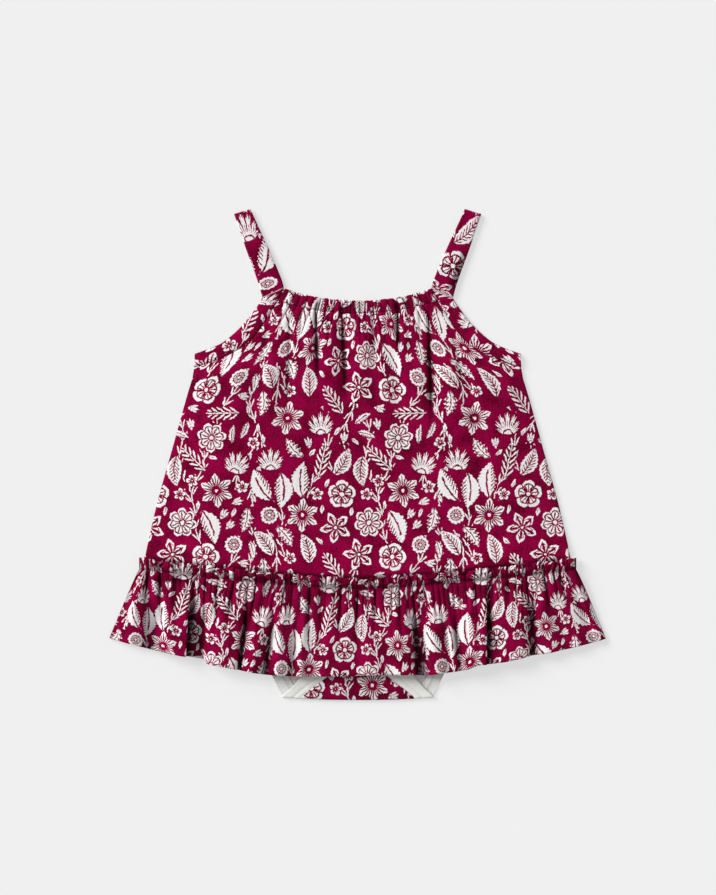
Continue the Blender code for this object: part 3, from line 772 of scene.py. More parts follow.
def make_ruffle_front(fabric):
    columns, head_rows, skirt_rows = 720, 14, 40
    rows = head_rows + skirt_rows
    profile = even_profile(columns)
    lengths = [0.0]
    for before, after in zip(profile, profile[1:]):
        step = math.hypot(after.hem_x - before.hem_x, RISE_SCALE * (after.rise - before.rise))
        lengths.append(lengths[-1] + step)
    middle = min(range(columns + 1), key=lambda n: abs(profile[n].hem_x))
    cut_x = [RUFFLE_GATHER * (length - lengths[middle]) for length in lengths]

    def levels(x, edge_x, down):
        """Underside at the ruffle's middle, blended to its edge at the side seam."""
        lower = mix(7.1, 5.6, smooth_step(0.65, 1.0, down))
        middle_level = mix(7.0, lower, smooth_step(0.0, 0.1, down))
        edge_level = mix(4.2, 1.4, smooth_step(0.0, 0.8, down))
        room = edge_x - suit_half_width(70.0 if down > 0.5 else 100.0)
        return mix(edge_level, middle_level, smooth_step(0.0, room, edge_x - abs(x)))

    def head_share(spot):
        return (spot.head_x / STITCH_ROW.edge_x + 1.0) / 2.0

    def frill(share, up):
        """Heights of the head's wide and fine puckers, whose folds lean to either side."""
        lean = 0.0060 * up * (math.sin(71.0 * share) + math.sin(163.0 * share + 1.3))
        leaning = min(1.0, max(0.0, share + lean))
        return HEAD_PUCKERS.at(leaning, 0.9)[0], FRILL_PUCKERS.at(leaning, 1.1)[0]

    def place(column, row):
        spot = profile[column]
        share = head_share(spot)
        head_x = STITCH_ROW.edge_x * (2.0 * HEAD_PUCKERS.drawn(share) - 1.0)
        tight, length = HEAD_PUCKERS.at(share)
        loose, reach = LONG_PUCKERS.at(share, 0.9)
        side = abs(spot.head_x) / STITCH_ROW.edge_x
        stitched = row_height(STITCH_ROW, HEAD_BOW, side)
        inside = smooth_step(0.0, 5.0, STITCH_ROW.edge_x - abs(spot.head_x))
        if row < head_rows:
            up = 1.0 - row / head_rows
            wide, fine = frill(share, up)
            wander = math.sin(57.0 * share + 0.7) + math.sin(131.0 * share)
            uneven = 1.5 * (wide - 0.55) + 1.1 * (fine - 0.5) + 0.5 * wander
            height = mix(stitched, row_height(FRILL_ROW, HEAD_BOW, side), up)
            height += up * up * uneven * inside
            rolled = math.sin(0.82 * math.pi * up)
            crumple = 0.55 * math.sin(9.0 * up + 97.0 * share)
            crumple += 0.3 * math.sin(15.0 * up - 211.0 * share)
            z = levels(spot.head_x, STITCH_ROW.edge_x, 0.0) + CLOTH
            z += inside * rolled * (1.0 + 2.2 * wide + 1.3 * fine + 0.8 * loose + crumple)
            return point(head_x, height, z)
        down = (row - head_rows) / skirt_rows
        drawn = 1.0 - smooth_step(0.0, 0.5, down)
        x = mix(mix(spot.head_x, head_x, drawn), spot.hem_x, down ** FLARE)
        edge_x = mix(STITCH_ROW.edge_x, HEM_ROW.edge_x, down ** FLARE)
        grown = smooth_step(0.0, 0.55, down)
        near = smooth_step(0.0, 0.06, down)
        gather = 2.4 * tight * near * (1.0 - smooth_step(0.12, 0.12 + 0.38 * length, down))
        gather += 2.4 * loose * near * (1.0 - smooth_step(0.3, 0.3 + 0.6 * reach, down))
        z = levels(x, edge_x, down) + CLOTH + RISE_SCALE * spot.rise * grown + gather * inside
        return point(x, mix(stitched, spot.hem_height, down), z)

    def pattern(column, row):
        if row < head_rows:
            return cut_x[column], 85.0 + 10.5 * (1.0 - row / head_rows)
        return cut_x[column], 85.0 - SKIRT_CUT * (row - head_rows) / skirt_rows

    def shade(column, row):
        # Painted shade: in the frill's valleys, along the ruffle's seam, between the puckers below
        # it and in the recesses under the deepest folds.
        spot = profile[column]
        share = head_share(spot)
        if row < head_rows:
            up = 1.0 - row / head_rows
            wide, fine = frill(share, up)
            seam = 0.3 * (1.0 - smooth_step(0.0, 0.4, up))
            return seam + 0.22 * (1.0 - wide) + 0.46 * (1.0 - fine) ** 2
        tight, _ = HEAD_PUCKERS.at(share)
        down = (row - head_rows) / skirt_rows
        seam = 0.46 * (1.0 - 0.6 * tight) * (1.0 - smooth_step(0.02, 0.16, down))
        recess = 0.42 * smooth_step(2.2, 0.5, spot.rise) * smooth_step(0.2, 0.6, down)
        recess *= smooth_step(4.0, 20.0, HEM_ROW.edge_x - abs(spot.hem_x))
        return seam + recess + 0.2 * (1.0 - tight) * (1.0 - smooth_step(0.1, 0.45, down))

    spots = cloth("ruffle_front_cloth", "ruffle_front", (columns, rows), place, pattern, fabric,
                  shade=shade)
    SEAMS["thread"].append([spots[column, head_rows] for column in range(columns + 1)])


def make_ruffle_back(fabric):
    columns, head_rows, skirt_rows = 300, 5, 24

    def place(column, row):
        side = 2.0 * column / columns - 1.0
        pucker, length = BACK_HEAD_PUCKERS.at(column / columns)
        up = max(0.0, 1.0 - row / head_rows)
        down = max(0.0, (row - head_rows) / skirt_rows)
        height = row_height(STITCH_ROW, HEAD_BOW, side)
        edge_x = mix(STITCH_ROW.edge_x, HEM_ROW.edge_x, down ** FLARE)
        if row < head_rows:
            height = mix(height, row_height(FRILL_ROW, HEAD_BOW, side), up)
            fold = 0.55 * pucker * up
        else:
            height = mix(height, row_height(HEM_ROW, HEM_ROW.bow, side) + 1.5, down)
            fold = 0.6 * pucker * smooth_step(0.0, 0.1, down)
            fold *= 1.0 - 0.6 * smooth_step(0.3, 0.9 * length, down)
        join = 1.0 - smooth_step(0.0, 6.0, edge_x - abs(edge_x * side))
        seam = mix(3.4, 0.7, smooth_step(0.0, 0.8, down))
        return point(edge_x * side, height, mix(0.02 + fold, seam, join))

    def pattern(column, row):
        u = 222.0 * (2.0 * column / columns - 1.0)
        if row < head_rows:
            return u, 33.0 + 9.5 * (1.0 - row / head_rows)
        return u, 33.0 - SKIRT_CUT * (row - head_rows) / skirt_rows

    cloth("ruffle_back_cloth", "ruffle_back", (columns, head_rows + skirt_rows), place, pattern,
          fabric, face_down=True)


def suit_point(x, travel, inward=0.0):
    """A place on the outer side of the bodysuit's back, its crotch fold or its flap."""
    turn = math.pi * CROTCH_FOLD
    radius = CROTCH_FOLD - inward
    if travel <= 0.0:
        height = CROTCH_FOLD - travel
        z = SUIT_BACK_LEVEL * smooth_step(7.0, 17.0, height) + suit_rise(x, height) + inward
    elif travel < turn:
        angle = travel / CROTCH_FOLD
        height = CROTCH_FOLD - radius * math.sin(angle)
        z = CROTCH_FOLD - radius * math.cos(angle)
    else:
        height = CROTCH_FOLD + travel - turn
        fold_top = 2.0 * CROTCH_FOLD
        z = fold_top + (FLAP_TOP - fold_top) * smooth_step(4.0, 32.0, height) - inward
    lift = CROTCH_CORNER_LIFT * (x / CROTCH_HALF_WIDTH) ** 2 * max(0.0, 1.0 - height / 40.0)
    return point(x, height + lift, z)


def leg_row(share):
    """The leg binding's row at a share of its length, evenly spread over its travel."""
    start, end = LEG_ROWS[0].travel, LEG_ROWS[-1].travel
    travel = mix(start, end, share)
    for index, (before, after) in enumerate(zip(LEG_ROWS, LEG_ROWS[1:])):
        if travel <= after.travel:
            place = index + (travel - before.travel) / (after.travel - before.travel)
            row = along_rows(LEG_ROWS, place)
            return row._replace(travel=travel)
    return LEG_ROWS[-1]


def make_bodysuit_back(fabric):
    """The bodysuit's back, whose lower end folds up over the crotch as a flap."""
    columns, upper_rows, leg_rows = 40, 30, 150

    def spot(column, row):
        """Place across the bodysuit, and travel along it."""
        side = 2.0 * column / columns - 1.0
        if row < upper_rows:
            outline = along_rows(SUIT_BACK_ROWS, (len(SUIT_BACK_ROWS) - 1) * row / upper_rows)
            return outline.half_width * side, on_back(outline.height)
        outline = leg_row((row - upper_rows) / leg_rows)
        return outline.inner_x * side, outline.travel

    def pattern(column, row):
        x, travel = spot(column, row)
        return 25.0 + x, 20.0 + travel

    def shade(column, row):
        # Painted shade on the flap: near the crotch fold, and under the ruffle's hem.
        _, travel = spot(column, row)
        if travel < 0.0:
            return 0.0
        height = travel - math.pi * CROTCH_FOLD
        near_fold = 0.26 - 0.22 * smooth_step(2.0, 9.0, height)
        return near_fold + 0.3 * smooth_step(14.0, 20.0, height)

    cloth("bodysuit_back_cloth", "bodysuit_back", (columns, upper_rows + leg_rows),
          lambda column, row: suit_point(*spot(column, row)), pattern, fabric,
          face_down=True, shade=shade)


def make_bodysuit_front(fabric):
    columns, rows = 40, 70

    def spot(column, row):
        outline = along_rows(SUIT_FRONT_ROWS, (len(SUIT_FRONT_ROWS) - 1) * row / rows)
        return outline.half_width * (2.0 * column / columns - 1.0), outline.height

    def place(column, row):
        x, height = spot(column, row)
        return point(x, height, SUIT_FRONT_LEVEL + CLOTH + suit_rise(x, height))

    def pattern(column, row):
        x, height = spot(column, row)
        return x + 50.0, height + 21.0

    cloth("bodysuit_front_cloth", "bodysuit_front", (columns, rows), place, pattern, fabric)


def make_leg_binding(hand, side, fabric):
    columns, rows = 20, 190

    def place(column, row):
        outline = leg_row(row / rows)
        share = mirrored(column, columns, side) / columns
        puff = (1.0 - (2.0 * share - 1.0) ** 6) ** 0.5
        groove = math.exp(-((share - 0.4) / 0.09) ** 2)
        x = side * mix(outline.inner_x, outline.outer_x, share)
        return suit_point(x, outline.travel, 0.3 * (1.0 - puff) + 0.35 * groove)

    def pattern(column, row):
        across = TAPE_WIDTH * mirrored(column, columns, side) / columns
        return across, leg_row(row / rows).travel * TAPE_EASE

    def shade(column, row):
        # Painted shade on the binding: away from the crotch fold, under the dress and its ruffle,
        # a little at the fold, on the back, and along its groove.
        travel = leg_row(row / rows).travel
        share = mirrored(column, columns, side) / columns
        up = abs(travel - 0.5 * math.pi * CROTCH_FOLD)
        under = 0.34 * smooth_step(11.0, 23.0, up) + 0.08 * (1.0 - smooth_step(0.0, 7.0, up))
        lower = 0.14 if travel < 0.0 else 0.08 * smooth_step(0.75, 1.0, share)
        return under + lower + 0.3 * math.exp(-((share - 0.4) / 0.05) ** 2)

    spots = cloth(f"leg_binding_{hand}_tape", f"leg_binding_{hand}", (columns, rows), place,
                  pattern, fabric, face_down=True, shade=shade)
    seam = mirrored(8, columns, side)
    SEAMS["white"].append([spots[seam, row] for row in range(rows + 1)])


# Snaps and stitches ---------------------------------------------------------------------


def make_snap(number, materials, radius):
    """One closed snap cap: a low disc with a rolled edge and a shallow dimple."""
    bm = bmesh.new()
    bmesh.ops.create_cone(bm, cap_ends=True, segments=32, radius1=radius * MM,
                          radius2=radius * MM, depth=SNAP_WALL * MM)
    top = max(bm.faces, key=lambda face: face.calc_center_median().z)
    for inset, rise in ((0.25, 0.2), (0.4, 0.15), (1.6, 0.0), (0.35, -0.3)):
        bmesh.ops.inset_region(bm, faces=[top], thickness=inset * MM, depth=rise * MM)
    middle = point((number - 2) * 20.0, 52.0, SNAP_LEVEL + SNAP_WALL / 2.0)
    bmesh.ops.translate(bm, verts=bm.verts[:], vec=middle)
    return finish_piece(f"snap_cap_{number}", bm, materials, [f"snap_{number}"], "snap_cap")


def sew(bm, line, stitch, gap, radius):
    """Add a run of stitches along a line of points: small lozenges of thread, half sunk."""
    total = sum((b - a).length for a, b in zip(line, line[1:]))
    count = int(total / (stitch + gap))
    if count < 1:
        return
    step = total / count
    reached, index = 0.0, 0
    for number in range(count):
        wanted = (number + 0.5) * step
        while index < len(line) - 2 and reached + (line[index + 1] - line[index]).length < wanted:
            reached += (line[index + 1] - line[index]).length
            index += 1
        start, end = line[index], line[index + 1]
        along = (end - start).normalized()
        middle = start + along * (wanted - reached)
        turn = along.to_track_quat("X", "Z").to_matrix().to_4x4()
        grow = Matrix.Diagonal((stitch / 2.0, radius, radius, 1.0))
        bmesh.ops.create_uvsphere(bm, u_segments=6, v_segments=5, radius=1.0,
                                  matrix=Matrix.Translation(middle) @ turn @ grow)


def make_stitching(name, lines, material, slot, sizes):
    bm = bmesh.new()
    for line in lines:
        sew(bm, line, sizes.stitch, sizes.stitch_gap, sizes.thread)
    finish_piece(name, bm, [material], [], slot)


# Print ----------------------------------------------------------------------------------

REPEAT_WIDTH, REPEAT_LENGTH = 152.0, 136.0

Motif = namedtuple("Motif", "half_length half_width places")
Flower = namedtuple("Flower", "petals waist roundness pointed slit strokes reach contour eye")
Leaf = namedtuple("Leaf", "teeth depth slant rib veins hatch_from hatch_to one_side bend")
Fan = namedtuple("Fan", "spread teeth depth slits slit_from calyx")

# Flowers seen from above. Lengths are shares of the flower's radius.
FLOWERS = {
    "anemone": Flower(6, 0.42, 0.70, True, 0.10, 4, -1.85, 0.0, 0.15),
    "windflower": Flower(7, 0.62, 0.62, False, 0.08, 2, -1.30, 0.80, 0.22),
    "star_flower": Flower(5, 0.34, 0.75, True, 0.07, 2, -1.50, 0.74, 0.13),
    "rose": Flower(5, 0.70, 0.50, False, 0.12, 3, -1.30, 0.72, 0.24),
    "rosette": Flower(13, 0.84, 0.80, False, 0.03, 1, -1.25, 0.62, 0.24),
    "blossom": Flower(5, 0.30, 0.50, False, 0.20, 1, -1.15, 0.0, 0.12),
}

# Leaves lying along x, from their stem at -1 to their tip at 1
LEAVES = {
    "hatched_leaf": Leaf(5.0, 0.22, 1.2, 0.085, 5.0, 0.45, 1.10, True, 0.34),
    "ribbed_leaf": Leaf(4.0, 0.12, 0.6, 0.075, 4.6, 0.10, 0.62, False, -0.30),
    "lobed_leaf": Leaf(2.8, 0.52, 1.4, 0.07, 2.8, 0.30, 0.75, False, 0.30),
    "slim_leaf": Leaf(5.0, 0.35, 1.6, 0.12, 4.0, 0.50, 0.80, True, 0.40),
}

# Flowers seen from the side, opening along x from their stem
FANS = {
    "carnation": Fan(1.40, 8.2, 0.27, 2.6, 0.50, 0.36),
    "bud": Fan(0.70, 4.6, 0.20, 2.3, 0.80, 0.48),
}

# The repeat, charted on a cloth of REPEAT_WIDTH by REPEAT_LENGTH millimetres: half the length
# and width of each motif in millimetres, and its places, each x and y in millimetres and a turn
# in degrees. Later motifs lie over earlier ones.
MOTIFS = {
    "vine": Motif(28.0, 8.0, (
        (22, 46, 80), (70, 50, 262), (128, 76, 100), (46, 108, 70), (86, 112, 285), (8, 70, 95),
        (62, 62, 250), (118, 46, 75), (145, 95, 262), (20, 10, 110), (90, 5, 100),
        (66, 118, 95),)),
    "anemone": Motif(14.4, 14.4, (
        (37, 35, 276), (95, 94, 260), (107, 15, 267),)),
    "windflower": Motif(12.4, 12.4, (
        (9, 9, 349), (33, 78, 162),)),
    "star_flower": Motif(13.6, 13.6, (
        (134, 5, 188), (1, 119, 177),)),
    "rose": Motif(11.8, 11.8, (
        (28, 117, 2), (139, 32, 160),)),
    "rosette": Motif(7.4, 7.4, (
        (80, 15, 160), (51, 127, 51),)),
    "carnation": Motif(10.8, 10.8, (
        (81, 61, 90), (122, 90, 92), (54, 58, 74),)),
    "hatched_leaf": Motif(14.8, 8.4, (
        (32, 6, 292), (106, 44, 88), (91, 35, 269), (73, 39, 119),)),
    "ribbed_leaf": Motif(12.6, 7.0, (
        (111, 124, 105), (76, 129, 128), (140, 58, 61), (3, 51, 270),)),
    "lobed_leaf": Motif(10.4, 6.2, (
        (100, 69, 131), (75, 106, 265), (61, 11, 257), (93, 134, 308),)),
    "sprig": Motif(13.6, 5.6, (
        (18, 61, 136), (123, 59, 77), (132, 109, 125), (42, 98, 181),)),
    "slim_leaf": Motif(7.8, 2.9, (
        (60, 84, 245), (50, 81, 84), (7, 81, 343), (4, 94, 35), (66, 123, 282),)),
    "bud": Motif(5.8, 4.4, (
        (43, 16, 58), (112, 74, 96), (54, 26, 18), (141, 78, 83), (59, 112, 352),
        (18, 102, 351), (16, 89, 101), (48, 7, 42),)),
    "blossom": Motif(5.1, 5.1, (
        (67, 74, 271), (119, 32, 19), (97, 116, 191), (58, 38, 237), (7, 32, 79), (17, 43, 104),)),
    "leaflet": Motif(3.9, 1.7, (
        (121, 130, 135), (63, 101, 99), (115, 66, 47), (147, 18, 258), (135, 83, 56),
        (123, 20, 259), (75, 77, 98), (67, 29, 297), (51, 17, 245), (22, 23, 90), (34, 62, 343),
        (150, 75, 318), (127, 41, 63), (71, 86, 89),)),
}

VECTOR = "ShaderNodeVectorMath"
NOISE = "ShaderNodeTexNoise"
MIX = "ShaderNodeMix"


def add(tree, kind, *values, **settings):
    """A node with its settings, its inputs set or linked, and its first output in use.

    kind is the type of the node, or in capitals the operation of a Math node. values are its
    inputs in order, or one dict of them by name or number.
    """
    if kind.isupper():
        kind, settings["operation"] = "ShaderNodeMath", kind
    node = tree.nodes.new(kind)
    for name, setting in settings.items():
        setattr(node, name, setting)
    named = values and isinstance(values[0], dict)
    for socket, value in (values[0] if named else dict(enumerate(values))).items():
        if isinstance(value, bpy.types.NodeSocket):
            tree.links.new(value, node.inputs[socket])
        else:
            node.inputs[socket].default_value = value
    return next((output for output in node.outputs if output.enabled), None)


def flower_ink(node, flower, radius, angle):
    """1 where a flower seen from above is printed white."""
    petal = node("ABSOLUTE", node("COSINE", node("MULTIPLY", angle, flower.petals / 2.0)))
    lobe = petal
    if flower.pointed:
        lobe = node("MULTIPLY", node("ARCSINE", petal), 2.0 / math.pi)
    lobe = node("POWER", lobe, flower.roundness)
    edge = node("MULTIPLY_ADD", lobe, 0.97 - flower.waist, flower.waist)
    ink = node("LESS_THAN", radius, edge)
    if flower.contour:
        line = node("COMPARE", node("DIVIDE", radius, edge), flower.contour, 0.055)
        ink = node("SUBTRACT", ink, line)
    unslit = node("GREATER_THAN", node("MULTIPLY", petal, radius), flower.slit)
    stroke = node("COSINE", node("MULTIPLY", angle, float(flower.petals * flower.strokes)))
    plain = node("LESS_THAN", node("MULTIPLY_ADD", radius, -3.2, stroke), flower.reach)
    for kept in (unslit, plain, node("GREATER_THAN", radius, flower.eye)):
        ink = node("MINIMUM", ink, kept)
    return node("MAXIMUM", ink, node("LESS_THAN", radius, 0.62 * flower.eye))


def leaf_ink(node, leaf, x, y):
    """1 where a leaf, bent along its length, is printed white."""
    square = node("MULTIPLY", x, x)
    y = node("SUBTRACT", node("MULTIPLY_ADD", square, leaf.bend, y), 0.35 * leaf.bend)
    off = node("ABSOLUTE", y)
    taper = node("MULTIPLY_ADD", x, -0.2, 1.0)
    width = node("MULTIPLY", node("MULTIPLY_ADD", square, -0.93, 0.93), taper)
    tooth = node("MULTIPLY_ADD", x, leaf.teeth, 7.0)
    tooth = node("FRACT", node("MULTIPLY_ADD", off, -leaf.slant, tooth))
    edge = node("MULTIPLY", width, node("MULTIPLY_ADD", tooth, -leaf.depth, 1.0))
    rib = node("MINIMUM", node("LESS_THAN", off, leaf.rib), node("LESS_THAN", x, 0.55))
    ink = node("SUBTRACT", node("LESS_THAN", off, edge), rib)
    vein = node("MULTIPLY_ADD", x, leaf.veins, 9.0)
    vein = node("FRACT", node("MULTIPLY_ADD", off, -leaf.veins * 0.55, vein))
    middle = (leaf.hatch_from + leaf.hatch_to) / 2.0
    reach = (leaf.hatch_to - leaf.hatch_from) / 2.0
    zone = node("COMPARE", node("DIVIDE", off, width), middle, reach)
    hatch = node("MINIMUM", node("LESS_THAN", vein, 0.42), zone)
    if leaf.one_side:
        hatch = node("MINIMUM", hatch, node("LESS_THAN", y, 0.0))
    return node("SUBTRACT", ink, hatch, use_clamp=True)


def fan_ink(node, fan, x, y):
    """1 where a flower seen from the side is printed white, such as a carnation or a bud."""
    along = node("ADD", x, 0.85)
    radius = node(VECTOR, node("ShaderNodeCombineXYZ", along, y), operation="LENGTH")
    off = node("ABSOLUTE", node("ARCTAN2", y, along))
    bow = node("MULTIPLY_ADD", node("COSINE", off), 1.36, 0.36)
    tooth = node("PINGPONG", node("MULTIPLY", off, fan.teeth), 0.5)
    edge = node("MULTIPLY", bow, node("MULTIPLY_ADD", tooth, -2.0 * fan.depth, 1.0))
    ink = node("LESS_THAN", radius, edge)
    ink = node("MINIMUM", ink, node("LESS_THAN", off, fan.spread))
    slit = node("COSINE", node("MULTIPLY", off, fan.slits * math.pi))
    opened = node("MULTIPLY_ADD", radius, 0.42, -0.42 * fan.slit_from)
    slit = node("LESS_THAN", node("MULTIPLY", slit, slit), opened)
    rib = node("COSINE", node("MULTIPLY", off, 2.0 * fan.slits * math.pi))
    middle = node("COMPARE", radius, 0.80, 0.18)
    rib = node("MINIMUM", node("GREATER_THAN", rib, 0.90), middle)
    ink = node("SUBTRACT", node("SUBTRACT", ink, slit), rib)
    ring = node("COMPARE", radius, fan.calyx, 0.05)
    return node("SUBTRACT", ink, ring, use_clamp=True)


def sprig_ink(node, x, off, pairs, stem, reach, fill):
    """1 where a sprig of paired leaflets is printed white.

    stem is half the stem's width, reach is how far the leaflets stand out from it and fill is
    the share of the stem's length that they take up.
    """
    cell = node("MULTIPLY_ADD", x, pairs, 5.0)
    cell = node("FRACT", node("MULTIPLY_ADD", off, -1.5, cell))
    cell = node("MULTIPLY_ADD", cell, 2.0 / fill, -1.0 / fill)
    out = node("MULTIPLY_ADD", off, 2.35 / reach, -1.35)
    far = node("MULTIPLY_ADD", out, out, node("MULTIPLY", cell, cell))
    return node("MAXIMUM", node("LESS_THAN", far, 1.0), node("LESS_THAN", off, stem))


def leaflet_ink(node, x, off):
    """1 where a single leaflet is printed white, with a line down its middle."""
    width = node("MULTIPLY_ADD", node("MULTIPLY", x, x), -0.9, 0.9)
    line = node("MINIMUM", node("LESS_THAN", off, 0.15), node("LESS_THAN", x, 0.2))
    return node("SUBTRACT", node("LESS_THAN", off, width), line, use_clamp=True)


def make_print():
    """The node group of the print: from a place on the cut, in millimetres, to its ink."""
    tree = bpy.data.node_groups.new("floral_print", "ShaderNodeTree")
    tree.interface.new_socket("Place", in_out="INPUT", socket_type="NodeSocketVector")
    tree.interface.new_socket("Ink", in_out="OUTPUT", socket_type="NodeSocketFloat")
    node = partial(add, tree)
    place = node("NodeGroupInput")
    wobble = node(NOISE, {"Vector": place, "Scale": 0.33, "Detail": 3.0, "Roughness": 0.65},
                  noise_dimensions="2D").node.outputs["Color"]
    shift = node(VECTOR, wobble, (0.5, 0.5, 0.5), operation="SUBTRACT")
    shift = node(VECTOR, shift, (2.4, 2.4, 0.0), operation="MULTIPLY")
    place = node(VECTOR, place, shift, operation="ADD")
    local = node(VECTOR, place, (0.0, 0.0, 0.0), operation="MULTIPLY")
    half = Vector((REPEAT_WIDTH, REPEAT_LENGTH, 0.0)) / 2.0
    for number, motif in enumerate(MOTIFS.values(), 1):
        scale = (motif.half_length, motif.half_width, 1.0)
        for x, y, angle in motif.places:
            spot = Vector((x, y, 0.0))
            near = node(VECTOR, place, spot + half, spot - half, operation="WRAP")
            mapped = node("ShaderNodeMapping", near, (x, y, -number),
                          (0.0, 0.0, math.radians(angle)), scale, vector_type="TEXTURE")
            size = node(VECTOR, mapped, operation="LENGTH")
            inside = node("LESS_THAN", size, math.hypot(1.0, number))
            local = node(MIX, {0: inside, 4: local, 5: mapped}, data_type="VECTOR")
    x, y, kind = node("ShaderNodeSeparateXYZ", local).node.outputs
    off = node("ABSOLUTE", y)
    angle = node("ARCTAN2", y, x)
    radius = node(VECTOR, local, (1.0, 1.0, 0.0), operation="MULTIPLY")
    radius = node(VECTOR, radius, operation="LENGTH")
    bow = node("SINE", node("MULTIPLY", x, 3.4))
    bow = node("ABSOLUTE", node("MULTIPLY_ADD", bow, 0.34, y))
    total = node("MULTIPLY", 0.0, 0.0)
    for number, name in enumerate(MOTIFS, 1):
        if name in FLOWERS:
            ink = flower_ink(node, FLOWERS[name], radius, angle)
        elif name in LEAVES:
            ink = leaf_ink(node, LEAVES[name], x, y)
        elif name in FANS:
            ink = fan_ink(node, FANS[name], x, y)
        elif name == "sprig":
            ink = sprig_ink(node, x, off, 2.6, 0.07, 0.94, 0.46)
        elif name == "leaflet":
            ink = leaflet_ink(node, x, off)
        else:
            ink = sprig_ink(node, x, bow, 2.7, 0.055, 0.46, 0.26)
        chosen = node("COMPARE", kind, float(number), 0.5)
        total = node("MULTIPLY_ADD", chosen, ink, total)
    node("NodeGroupOutput", total)
    return tree


# Materials ------------------------------------------------------------------------------


def new_material(name, roughness, specular=0.5):
    """A material with nothing but its shader, and what adds nodes to it."""
    material = bpy.data.materials.new(name)
    material.use_nodes = True
    shader = material.node_tree.nodes["Principled BSDF"]
    shader.inputs["Roughness"].default_value = roughness
    shader.inputs["Specular IOR Level"].default_value = specular
    return material, shader, partial(add, material.node_tree)


def join(shader, **values):
    """Link these values to the shader's inputs, spelt with underscores."""
    for name, value in values.items():
        shader.id_data.links.new(value, shader.inputs[name.replace("_", " ")])


def shaded(node, paint, tint):
    """The paint, darkened towards the tint by painted shade in the hollows between folds and where
    other pieces shade it.
    """
    painted_shade = node("ShaderNodeAttribute", attribute_name="painted_shade").node.outputs["Fac"]
    return node(MIX, {0: painted_shade, 6: paint, 7: tint}, data_type="RGBA", blend_type="MULTIPLY")


def knit_bump(node, place, spacing, depth):
    """Fine wales of a knit, spaced in millimetres across the cut.

    Real wales are 0.5 to 0.7 mm apart; they are drawn coarser, as finer ones wouldn't show.
    """
    fine = node(NOISE, {"Vector": place, "Scale": 0.9 / spacing, "Detail": 2.0},
                noise_dimensions="2D")
    bands = node("ShaderNodeTexWave", {"Vector": place, "Scale": 0.314 / spacing,
                                       "Distortion": 1.2, "Detail": 1.0, "Detail Scale": 1.5})
    both = node("MULTIPLY_ADD", bands, 0.5, fine)
    return node("ShaderNodeBump", {"Strength": 0.6, "Distance": depth * MM, "Height": both})


def make_printed_jersey(colours):
    """Cotton single jersey, reactive-printed: dull, with fine wales and slightly dry white ink."""
    material, shader, node = new_material("printed_cotton_jersey", 0.9, 0.04)
    place = node("ShaderNodeUVMap", uv_map="flat_pattern")
    printed_ink = node("ShaderNodeGroup", place, node_tree=make_print())
    cloudy = node(NOISE, {"Vector": place, "Scale": 0.06, "Detail": 2.0}, noise_dimensions="2D")
    grain = node(NOISE, {"Vector": place, "Scale": 0.9, "Detail": 3.0}, noise_dimensions="2D")
    thick = node("MULTIPLY_ADD", cloudy, 1.4, node("MULTIPLY_ADD", grain, 2.3, -1.06))
    thick = node("SUBTRACT", thick, 0.41, use_clamp=True)
    ground = node(MIX, {0: thick, 6: colours.ground, 7: colours.ground_deep}, data_type="RGBA")
    dry = node("MULTIPLY_ADD", grain, 0.8, -0.34, use_clamp=True)
    ink = node(MIX, {0: dry, 6: colours.ink, 7: colours.ground}, data_type="RGBA")
    paint = node(MIX, {0: printed_ink, 6: ground, 7: ink}, data_type="RGBA")
    # Painted shade: the base colour is darkened towards the painted shade tint by the
    # painted_shade attribute.
    join(shader, Base_Color=shaded(node, paint, colours.painted_shade),
         Normal=knit_bump(node, place, 0.9, 0.10))
    return material


def make_wrong_side(colours):
    """The inner side of the printed jersey: undyed white with a little colour come through."""
    material, shader, node = new_material("jersey_wrong_side", 0.92, 0.1)
    place = node("ShaderNodeUVMap", uv_map="flat_pattern")
    mottle = node(NOISE, {"Vector": place, "Scale": 0.16, "Detail": 3.0}, noise_dimensions="2D")
    share = node("MULTIPLY_ADD", mottle, 0.9, -0.28, use_clamp=True)
    paint = node(MIX, {0: share, 6: colours.wrong_side, 7: colours.show_through},
                 data_type="RGBA")
    join(shader, Base_Color=paint, Normal=knit_bump(node, place, 0.9, 0.12))
    return material


def make_binding_material(colours):
    """Off-white cotton rib binding: dull, soft, with fine ribs along the tape."""
    material, shader, node = new_material("cotton_rib_binding", 0.9, 0.15)
    place = node("ShaderNodeUVMap", uv_map="flat_pattern")
    grain = node(NOISE, {"Vector": place, "Scale": 0.5, "Detail": 3.0}, noise_dimensions="2D")
    paint = node(MIX, {0: grain, 6: colours.binding, 7: colours.binding_shade}, data_type="RGBA")
    # Painted shade: the base colour is darkened towards the binding's painted shade tint by the
    # painted_shade attribute.
    join(shader, Base_Color=shaded(node, paint, colours.binding_painted_shade),
         Normal=knit_bump(node, place, 1.1, 0.3))
    return material


def make_thread(name, colour):
    """Spun polyester sewing thread: a little shinier than the cloth."""
    material, shader, node = new_material(name, 0.6, 0.2)
    ply = node(NOISE, {"Scale": 2500.0, "Detail": 1.0})
    dark = tuple(0.7 * channel for channel in colour[:3]) + (1.0,)
    join(shader, Base_Color=node(MIX, {0: ply, 6: colour, 7: dark}, data_type="RGBA"))
    return material


def make_snap_material(colour):
    """Moulded acetal snap cap: smooth off-white with a soft gloss."""
    material, shader, node = new_material("moulded_acetal", 0.3)
    haze = node(NOISE, {"Scale": 900.0, "Detail": 2.0})
    join(shader, Roughness=node("MULTIPLY_ADD", haze, 0.12, 0.3))
    shader.inputs["Base Color"].default_value = colour
    return material


# Add-on ---------------------------------------------------------------------------------


def length_property(name, description, default, low, high):
    return bpy.props.FloatProperty(name=name, description=description, default=default * MM,
                                   min=low * MM, max=high * MM, unit="LENGTH")


